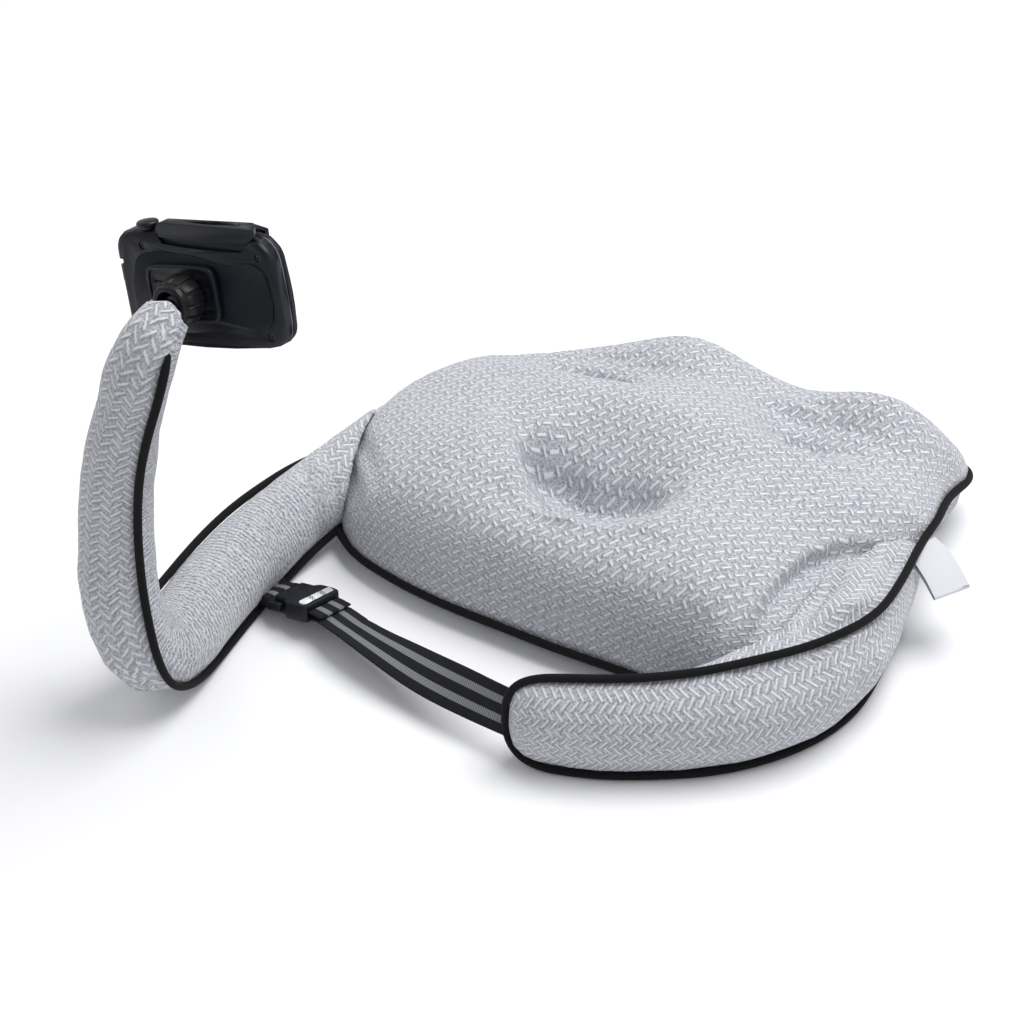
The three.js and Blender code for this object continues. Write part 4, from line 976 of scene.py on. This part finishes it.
def relief(hills, co):
    """The height of some soft hills and hollows at places on the pad, in metres."""
    total = np.zeros(len(co))
    for x, y, rise, turn, left, right, near, far, power in hills:
        cosine, sine = math.cos(math.radians(turn)), math.sin(math.radians(turn))
        away_x, away_y = co[:, 0] / MM - x, co[:, 1] / MM - y
        across = away_x * cosine + away_y * sine
        deep = away_y * cosine - away_x * sine
        across /= np.where(across < 0, left, right)
        deep /= np.where(deep < 0, near, far)
        total += rise * MM * np.exp(-((across**2 + deep**2) ** power))
    return total


def folded_in(pad):
    """Gives the pad's dimple the sharper folds that the frame leaves out."""
    co = points_of(pad.data)
    change = relief(FOLDED_DIMPLE, co) - relief(FRAME_DIMPLE, co)
    co[:, 2] += change * np.clip((co[:, 2] - FOLDS_FROM) / (FOLDS_FULL - FOLDS_FROM), 0, 1)
    move_to(pad.data, co)


def cover_done(piece, slot, material, node):
    smooth_shaded(piece)
    finished(piece, "cushion", slot, material, node)


def make_pad(material):
    pad = cover("pad", "pad_cover", ["piping_outer", "piping_front"], PAD_COVER)
    folded_in(pad)
    creased(pad, PAD_CREASES)
    on_floor(pad)
    over_the_pad(pad)
    cover_done(pad, "knit", material, "pad")


def on_floor(piece):
    co = points_of(piece.data)
    co[:, 2] = np.maximum(co[:, 2], 0)
    move_to(piece.data, co)


def make_arm(node, seams, creases):
    arm = cover(node, node + "_cover", seams, ARM_COVER)
    lumpy(arm)
    creased(arm, creases)
    on_floor(arm)
    return arm


def drawn_to(cord, neighbour):
    """Draws a cord's round end out to the end of the cord that it runs on into."""
    co = points_of(cord.data)
    own = points_of(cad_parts[cord.name.removesuffix("_cord")].data)
    theirs = points_of(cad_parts[neighbour].data)
    apart = np.linalg.norm(own[:, None] - theirs[None], axis=2)
    mine, other = np.unravel_index(np.argmin(apart), apart.shape)
    meeting = (own[mine] + theirs[other]) / 2
    own_end = own[np.linalg.norm(own - meeting, axis=1) < CORD_END].mean(axis=0)
    their_end = theirs[np.linalg.norm(theirs - meeting, axis=1) < CORD_END].mean(axis=0)
    way = (their_end - own_end) / np.linalg.norm(their_end - own_end)
    share = np.clip(1 - np.linalg.norm(co - meeting, axis=1) / CORD_END, 0, 1)
    move_to(cord.data, co + way * (share * CORD_DRAWN)[:, None])


def make_piping(node, material):
    """The cord's cover, rounded out from the CAD's eight-sided cord."""
    cord = copied(node, node + "_cord")
    work = bmesh.new()
    work.from_mesh(cord.data)
    bmesh.ops.join_triangles(
        work,
        faces=work.faces,
        angle_face_threshold=math.radians(40),
        angle_shape_threshold=math.radians(50),
    )
    work.to_mesh(cord.data)
    work.free()
    subdivided(cord, 2)
    co = points_of(cord.data)
    move_to(cord.data, co + normals_of(cord.data) * CORD_OUT)
    if node in CORDS_THAT_MEET:
        drawn_to(cord, CORDS_THAT_MEET[node])
    smooth_shaded(cord)
    finished(cord, "cushion", "black_tape", material, node)


# Straps


def smooth_rows(rows, steps):
    """Rows of numbers with a Catmull-Rom curve through them, in steps between each two."""
    rows = np.array(rows, float)
    padded = np.concatenate([[2 * rows[0] - rows[1]], rows, [2 * rows[-1] - rows[-2]]])
    out = []
    for i in range(1, len(padded) - 2):
        a, b, c, d = padded[i - 1 : i + 3]
        squared = 2 * a - 5 * b + 4 * c - d
        cubed = 3 * b - a - 3 * c + d
        for t in np.arange(steps) / steps:
            out.append(0.5 * (2 * b + (c - a) * t + squared * t**2 + cubed * t**3))
    return np.array([*out, rows[-1]])


def strap(name, points, across, width, thickness, columns=12):
    """A flat strap along points, with round edges, its weave laid along and across it."""
    points = np.array(points, float)
    across = np.array(across, float)
    tangents = np.gradient(points, axis=0)
    tangents /= np.linalg.norm(tangents, axis=1)[:, None]
    sides = across - tangents * np.einsum("ij,ij->i", across, tangents)[:, None]
    sides /= np.linalg.norm(sides, axis=1)[:, None]
    faces_up = np.cross(sides, tangents)
    run = np.concatenate([[0], np.cumsum(np.linalg.norm(np.diff(points, axis=0), axis=1))])
    edge = thickness / 2
    half = width / 2 - edge
    round_edge = [(math.sin(turn), math.cos(turn)) for turn in np.radians([45, 90, 135])]
    section = [(x, edge) for x in np.linspace(-half, half, columns)]
    section += [(half + edge * x, edge * z) for x, z in round_edge]
    section += [(x, -edge) for x in np.linspace(half, -half, columns)]
    section += [(-half - edge * x, -edge * z) for x, z in round_edge]
    count = len(section)
    work = bmesh.new()
    verts = []
    places = {}
    for i, point in enumerate(points):
        for x, z in section:
            vert = work.verts.new(point + sides[i] * x + faces_up[i] * z)
            places[vert] = (run[i], x, 0)
            verts.append(vert)
    for i in range(len(points) - 1):
        for k in range(count):
            near, far = i * count, (i + 1) * count
            after = (k + 1) % count
            work.faces.new((verts[near + k], verts[near + after], verts[far + after], verts[far + k]))
    work.faces.new(verts[:count][::-1])
    work.faces.new(verts[-count:])
    bmesh.ops.recalc_face_normals(work, faces=work.faces)
    work.verts.index_update()
    laid_by_vertex = np.array([places[vert] for vert in verts])
    mesh = bpy.data.meshes.new(name)
    work.to_mesh(mesh)
    work.free()
    piece = linked(name, mesh)
    lay_weave(piece, laid_by_vertex[corner_points(mesh)])
    smooth_shaded(piece)
    return piece


def buckle_axes():
    up = (BUCKLE_UP_HINT - BUCKLE_ALONG * BUCKLE_UP_HINT.dot(BUCKLE_ALONG)).normalized()
    return BUCKLE_ALONG, up.cross(BUCKLE_ALONG), up


def at_buckle(x, z):
    along, _, up = buckle_axes()
    return BUCKLE_MIDDLE + along * x + up * z


def half_turn(x, z, radius, away, steps=10):
    """Points round a pin from its underside to its top."""
    turns = [math.radians(-90 + 180 * k / steps) for k in range(steps + 1)]
    return [at_buckle(x + away * radius * math.cos(a), z + radius * math.sin(a)) for a in turns]


def leaning(degrees):
    return (0, math.cos(math.radians(degrees)), math.sin(math.radians(degrees)))


def make_belt(material):
    rows = smooth_rows(BELT_ROUTE, BELT_STEPS)
    route = [Vector(row[:3]) * MM for row in rows]
    leans = [leaning(row[3]) for row in rows]
    in_buckle = [at_buckle(PIN_X + away, PIN_Z - PIN_TURN) for away in LOOP_ENTRY]
    in_buckle += half_turn(PIN_X, PIN_Z, PIN_TURN, -1)
    in_buckle += [at_buckle(PIN_X + x, PIN_Z + PIN_TURN - sunk) for x, sunk in LOOP_TAIL]
    square = tuple(buckle_axes()[1])
    ends = [[*route[-2], *leans[-2]], [*route[-1], *leans[-1]], [*in_buckle[0], *square]]
    join = smooth_rows(ends, JOIN_STEPS)[JOIN_STEPS:]
    points = [*route[:-1], *(row[:3] for row in join), *in_buckle[1:]]
    across = [*leans[:-1], *(row[3:] for row in join), *[square] * (len(in_buckle) - 1)]
    belt = strap("belt_webbing", points, across, BELT_WIDTH, BELT_THICKNESS)
    finished(belt, "cushion", "webbing", material, "belt")


def make_arm_strap(material):
    up = Vector((0, 0, 1))
    layers = []
    for side in (-1, 1):
        rows = [STRAP_ROOT + up * (side * PLUG_TURN), at_buckle(STRAP_STRAIGHT_X, side * PLUG_TURN)]
        rows.append(at_buckle(PLUG_BAR_X - STRAP_NEAR_BAR, side * PLUG_TURN))
        layers.append([Vector(row) for row in smooth_rows(rows, 5)])
    points = layers[0] + half_turn(PLUG_BAR_X, 0, PLUG_TURN, 1) + layers[1][::-1]
    square = tuple(buckle_axes()[1])
    piece = strap("arm_strap_webbing", points, [square] * len(points), BELT_WIDTH, BELT_THICKNESS)
    finished(piece, "cushion", "webbing", material, "arm_strap")


def make_label(material):
    """A folded loop of satin, left blank, its two layers a little apart at the seam."""
    upper = [Vector(row) for row in smooth_rows(LABEL_ROUTE, LABEL_STEPS) * MM]
    forward = (upper[-1] - upper[0]).normalized()
    across = (LABEL_ACROSS - forward * LABEL_ACROSS.dot(forward)).normalized()
    normal = across.cross(forward)
    if normal.z < 0:
        normal.negate()
    last = len(upper) - 1
    gaps = [2 * LABEL_FOLD + (LABEL_OPENING - 2 * LABEL_FOLD) * (1 - i / last) for i in range(last + 1)]
    lower = [point - normal * gap for point, gap in zip(upper, gaps)]
    middle = (upper[-1] + lower[-1]) / 2
    turns = np.radians(np.linspace(0, 180, 11)[1:-1])
    fold = [middle + (normal * math.cos(turn) + forward * math.sin(turn)) * LABEL_FOLD for turn in turns]
    points = upper + fold + lower[::-1]
    label = strap("label_satin", points, [tuple(across)] * len(points), LABEL_WIDTH, LABEL_THICKNESS, 8)
    finished(label, "cushion", "satin", material, "label")
    length = sum((b - a).length for a, b in zip(points, points[1:]))


# Hard pieces

FLAT_ANGLE = 4  # degrees below which two faces count as one flat
CRISP_ANGLE = 34  # degrees from which an edge stays sharp
BAR_OUT = 0.0006  # how far the bright bar stands out of the buckle


def soft_corner(edge, crisp):
    """Whether an edge is one of the shallow ones that a rounded corner is made of."""
    if len(edge.link_faces) != 2:
        return False
    return math.radians(FLAT_ANGLE) < edge.calc_face_angle() < math.radians(crisp)


def end_normals(side, spines):
    """The ends of a side that runs between two soft corners, each with the normal of its corner there."""
    ends = []
    for vert in side.verts:
        spine = next(edge for edge in spines if vert in edge.verts)
        normal = (spine.link_faces[0].normal + spine.link_faces[1].normal).normalized()
        ends.append((vert.co.copy(), normal))
    return ends


def rounded_out(work, crisp, cuts=3):
    """Cuts the flat steps of rounded corners finer, and moves the new points out to the round."""
    soft = {edge for edge in work.edges if soft_corner(edge, crisp)}
    curved = {}
    for face in work.faces:
        if len(face.edges) != 4:
            continue
        for one, other in ((0, 2), (1, 3)):
            spines = (face.edges[one], face.edges[other])
            if spines[0] not in soft or spines[1] not in soft:
                continue
            for side in (face.edges[1 - one % 2], face.edges[3 - one % 2]):
                if side not in soft:
                    curved[side] = end_normals(side, spines)
    targets = []
    for (start, start_normal), (end, end_normal) in curved.values():
        step = end - start
        leave = (step - start_normal * step.dot(start_normal)).normalized() * step.length
        arrive = (step - end_normal * step.dot(end_normal)).normalized() * step.length
        for k in range(1, cuts + 1):
            t = k / (cuts + 1)
            flat = start + step * t
            bent = start * (2 * t**3 - 3 * t**2 + 1) + end * (3 * t**2 - 2 * t**3)
            bent += leave * (t**3 - 2 * t**2 + t) + arrive * (t**3 - t**2)
            targets.append((flat, bent))
    if not targets:
        return
    bmesh.ops.subdivide_edges(work, edges=list(curved), cuts=cuts)
    tree = KDTree(len(targets))
    for i, (flat, _) in enumerate(targets):
        tree.insert(flat, i)
    tree.balance()
    for vert in work.verts:
        _, i, away = tree.find(vert.co)
        if away < SAME_POINT:
            vert.co = targets[i][1]


def make_hard(node, body, slot, material, edge=None, crisp=CRISP_ANGLE):
    """A CAD node's own shape with its corners rounded finer and its edges as a mould leaves them."""
    piece = copied(node, node + "_part")
    work = bmesh.new()
    work.from_mesh(piece.data)
    same_flat = math.radians(1.5)
    bmesh.ops.dissolve_limit(work, angle_limit=same_flat, verts=work.verts, edges=work.edges)
    rounded_out(work, crisp)
    work.to_mesh(piece.data)
    work.free()
    bevel = piece.modifiers.new("Bevel", "BEVEL")
    bevel.width = settings().holder.edge if edge is None else edge
    bevel.segments = 2
    bevel.limit_method = "ANGLE"
    bevel.angle_limit = math.radians(crisp)
    bevel.harden_normals = True
    settled(piece)
    piece.data.shade_smooth()
    piece.data.set_sharp_from_angle(angle=math.radians(CRISP_ANGLE))
    return finished(piece, body, slot, material, node)


# Operators, one for each piece or group of like pieces


class CUSHION_OT_pad(bpy.types.Operator):
    """Make the pad's filled knit cover"""

    bl_idname = "cushion.pad"
    bl_label = "Pad"

    def execute(self, context):
        make_pad(knit("pad_knit", crossed_stitches))
        return {"FINISHED"}


class CUSHION_OT_arms(bpy.types.Operator):
    """Make the covers of the short arm and the long arm"""

    bl_idname = "cushion.arms"
    bl_label = "Arms"

    def execute(self, context):
        cloth = knit("arm_knit", herringbone)
        seams = ["piping_outer", "pad"]
        arm = make_arm("short_arm", seams, SHORT_ARM_CREASES)
        round_the_arm(arm, SHORT_ARM_ROWS, level_outer, ribbed=False)
        cover_done(arm, "knit", cloth, "short_arm")
        seams = ["piping_neck_lower", "piping_neck_upper", "pad"]
        arm = make_arm("long_arm", seams, LONG_ARM_CREASES)
        round_the_arm(arm, LONG_ARM_ROWS, left_outer, ribbed=True)
        cover_done(arm, "knit_fine", cloth, "long_arm")
        return {"FINISHED"}


class CUSHION_OT_pipings(bpy.types.Operator):
    """Make the black piping along the seams"""

    bl_idname = "cushion.pipings"
    bl_label = "Pipings"

    def execute(self, context):
        tape = woven_tape()
        for node in ("piping_outer", "piping_front", "piping_neck_lower", "piping_neck_upper"):
            make_piping(node, tape)
        return {"FINISHED"}


class CUSHION_OT_belt(bpy.types.Operator):
    """Make the belt and the short strap on the long arm"""

    bl_idname = "cushion.belt"
    bl_label = "Belt"

    def execute(self, context):
        material = webbing()
        make_belt(material)
        make_arm_strap(material)
        return {"FINISHED"}


class CUSHION_OT_label(bpy.types.Operator):
    """Make the blank satin label"""

    bl_idname = "cushion.label"
    bl_label = "Label"

    def execute(self, context):
        make_label(satin())
        return {"FINISHED"}


class CUSHION_OT_buckle(bpy.types.Operator):
    """Make the side release buckle and its bright bar"""

    bl_idname = "cushion.buckle"
    bl_label = "Buckle"

    def execute(self, context):
        nylon = moulded("buckle_nylon", tuple(settings().holder.nylon), 0.42)
        make_hard("buckle_socket", "cushion", "buckle_nylon", nylon)
        make_hard("buckle_plug", "cushion", "buckle_nylon", nylon, edge=0.0003)
        bar = make_hard("buckle_bar", "cushion", "bright_bar", bright_bar(), edge=0.0005)
        move_to(bar.data, points_of(bar.data) + normals_of(bar.data) * BAR_OUT)
        return {"FINISHED"}


class CUSHION_OT_ball(bpy.types.Operator):
    """Make the ball joint and its clamping nut"""

    bl_idname = "cushion.ball"
    bl_label = "Ball Joint"

    def execute(self, context):
        steel = dark_steel()
        make_hard("ball_stem", "cushion", "dark_steel", steel, edge=0.0002)
        ball = smooth_shaded(subdivided(copied("ball", "ball_part"), 1))
        finished(ball, "ball", "dark_steel", steel, "ball")
        rim = moulded("nut_plastic", (0.005, 0.005, 0.006), 0.42, grain=0.0005)
        make_hard("clamp_nut", "nut", "nut_plastic", rim, edge=0.0003, crisp=26)
        return {"FINISHED"}


class CUSHION_OT_holder(bpy.types.Operator):
    """Make the phone holder's shells, rim, jaw, knob, rubber pad and screws"""

    bl_idname = "cushion.holder"
    bl_label = "Phone Holder"

    def execute(self, context):
        holder = settings().holder
        plastic = moulded("holder_plastic", tuple(holder.plastic), 0.40)
        grey = moulded("trim_plastic", tuple(holder.rim), 0.38, lighter=1.2)
        rubber = moulded("soft_rubber", (0.009, 0.009, 0.01), 0.8, grain=0.0009, depth=0.00015)
        steel = dark_steel()
        for node in ("mount_plate", "back_shell", "front_shell"):
            make_hard(node, "holder", "holder_plastic", plastic)
        make_hard("rim_trim", "holder", "trim_plastic", grey, edge=0.0002)
        make_hard("phone_pad", "holder", "soft_rubber", rubber, edge=0.0003)
        make_hard("jaw", "jaw", "holder_plastic", plastic, edge=0.0005)
        make_hard("side_knob", "knob", "holder_plastic", plastic, edge=0.0003)
        for number in range(1, 5):
            make_hard(f"screw_{number}", "holder", "dark_steel", steel, edge=0.0001)
        return {"FINISHED"}


LIGHTS_AIM = Vector((0, 0, 0.05))
FLOOR_SUNK = 0.0004  # how far the floor lies under the cushion


def soft_light(name, watts, size, place):
    data = bpy.data.lights.new(name, "AREA")
    data.energy = watts
    data.size = size
    light = bpy.data.objects.new(name, data)
    light.location = place
    light.rotation_euler = (LIGHTS_AIM - Vector(place)).to_track_quat("-Z", "Y").to_euler()
    bpy.context.scene.collection.objects.link(light)


def make_floor(reach, pale):
    mesh = bpy.data.meshes.new("floor")
    corners = [(x * reach, y * reach, -FLOOR_SUNK) for x, y in ((-1, -1), (1, -1), (1, 1), (-1, 1))]
    mesh.from_pydata(corners, [], [(0, 1, 2, 3)])
    floor = linked("floor", mesh)
    paper = Finish("pale_floor", Roughness=0.7, Specular_IOR_Level=0.2)
    paper.set("Base Color", paper.mix(paper.noise(0.4) * 0.12, pale, (0.84, 0.845, 0.86)))
    floor.data.materials.append(paper.material)


def make_sky(strength):
    world = bpy.data.worlds.new("studio")
    world.use_nodes = True
    background = world.node_tree.nodes["Background"]
    background.inputs["Color"].default_value = (0.97, 0.98, 1.0, 1)
    background.inputs["Strength"].default_value = strength
    bpy.context.scene.world = world


def make_camera():
    """The photograph's camera, turned so that its target falls on the same pixel as there."""
    place, forward, right, up = camera_axes()
    centre = PHOTO_SIDE / 2
    aim = forward + right * ((centre - TARGET_PIXEL[0]) / FOCAL_PIXELS)
    aim = (aim - up * ((centre - TARGET_PIXEL[1]) / FOCAL_PIXELS)).normalized()
    side = (right - aim * right.dot(aim)).normalized()
    data = bpy.data.cameras.new("camera")
    data.lens = CAMERA_LENS
    data.sensor_width = SENSOR
    camera = bpy.data.objects.new("camera", data)
    rotation = Matrix((side, side.cross(aim), -aim)).transposed()
    camera.matrix_world = Matrix.Translation(place) @ rotation.to_4x4()
    bpy.context.scene.collection.objects.link(camera)
    bpy.context.scene.camera = camera


class CUSHION_OT_stage(bpy.types.Operator):
    """Set the camera, the pale floor and the soft studio light"""

    bl_idname = "cushion.stage"
    bl_label = "Stage"

    def execute(self, context):
        stage = settings().stage
        make_floor(stage.reach, tuple(stage.floor))
        make_sky(stage.sky)
        soft_light("key_light", stage.key, 1.5, (0.4, 0.65, 2.1))
        soft_light("fill_light", stage.fill, 2.0, (-1.7, -0.3, 1.2))
        soft_light("front_light", stage.fill * 0.6, 2.0, (1.7, -1.2, 1.2))
        make_camera()
        context.scene.view_settings.view_transform = "Standard"
        return {"FINISHED"}


OPERATORS = (
    CUSHION_OT_stage,
    CUSHION_OT_pad,
    CUSHION_OT_arms,
    CUSHION_OT_pipings,
    CUSHION_OT_belt,
    CUSHION_OT_label,
    CUSHION_OT_buckle,
    CUSHION_OT_ball,
    CUSHION_OT_holder,
)


class CushionSettings(bpy.types.PropertyGroup):
    cloth: PointerProperty(type=ClothSettings, name="Cloth", description="The knit cover")
    trim: PointerProperty(type=TrimSettings, name="Trim", description="Piping, belt and label")
    holder: PointerProperty(type=HolderSettings, name="Holder", description="Phone holder and buckle")
    stage: PointerProperty(type=StageSettings, name="Stage", description="Floor and lights")


class VIEW3D_PT_cushion(bpy.types.Panel):
    """Lists the cushion's pieces and their settings"""

    bl_idname = "VIEW3D_PT_cushion"
    bl_label = "Back Support Cushion"
    bl_space_type = "VIEW_3D"
    bl_region_type = "UI"
    bl_category = "Cushion"

    def draw(self, context):
        for operator in OPERATORS:
            self.layout.operator(operator.bl_idname)
        chosen = context.scene.cushion_settings
        for group in (chosen.cloth, chosen.trim, chosen.holder, chosen.stage):
            box = self.layout.box()
            for name in group.__annotations__:
                box.prop(group, name)


CLASSES = (
    ClothSettings,
    TrimSettings,
    HolderSettings,
    StageSettings,
    CushionSettings,
    *OPERATORS,
    VIEW3D_PT_cushion,
)


def register():
    for kind in CLASSES:
        bpy.utils.register_class(kind)
    bpy.types.Scene.cushion_settings = PointerProperty(type=CushionSettings)


def unregister():
    del bpy.types.Scene.cushion_settings
    for kind in reversed(CLASSES):
        bpy.utils.unregister_class(kind)


def main():
    register()
    for operator in OPERATORS:
        group, name = operator.bl_idname.split(".")
        getattr(getattr(bpy.ops, group), name)()


if __name__ == "__main__":
    main()
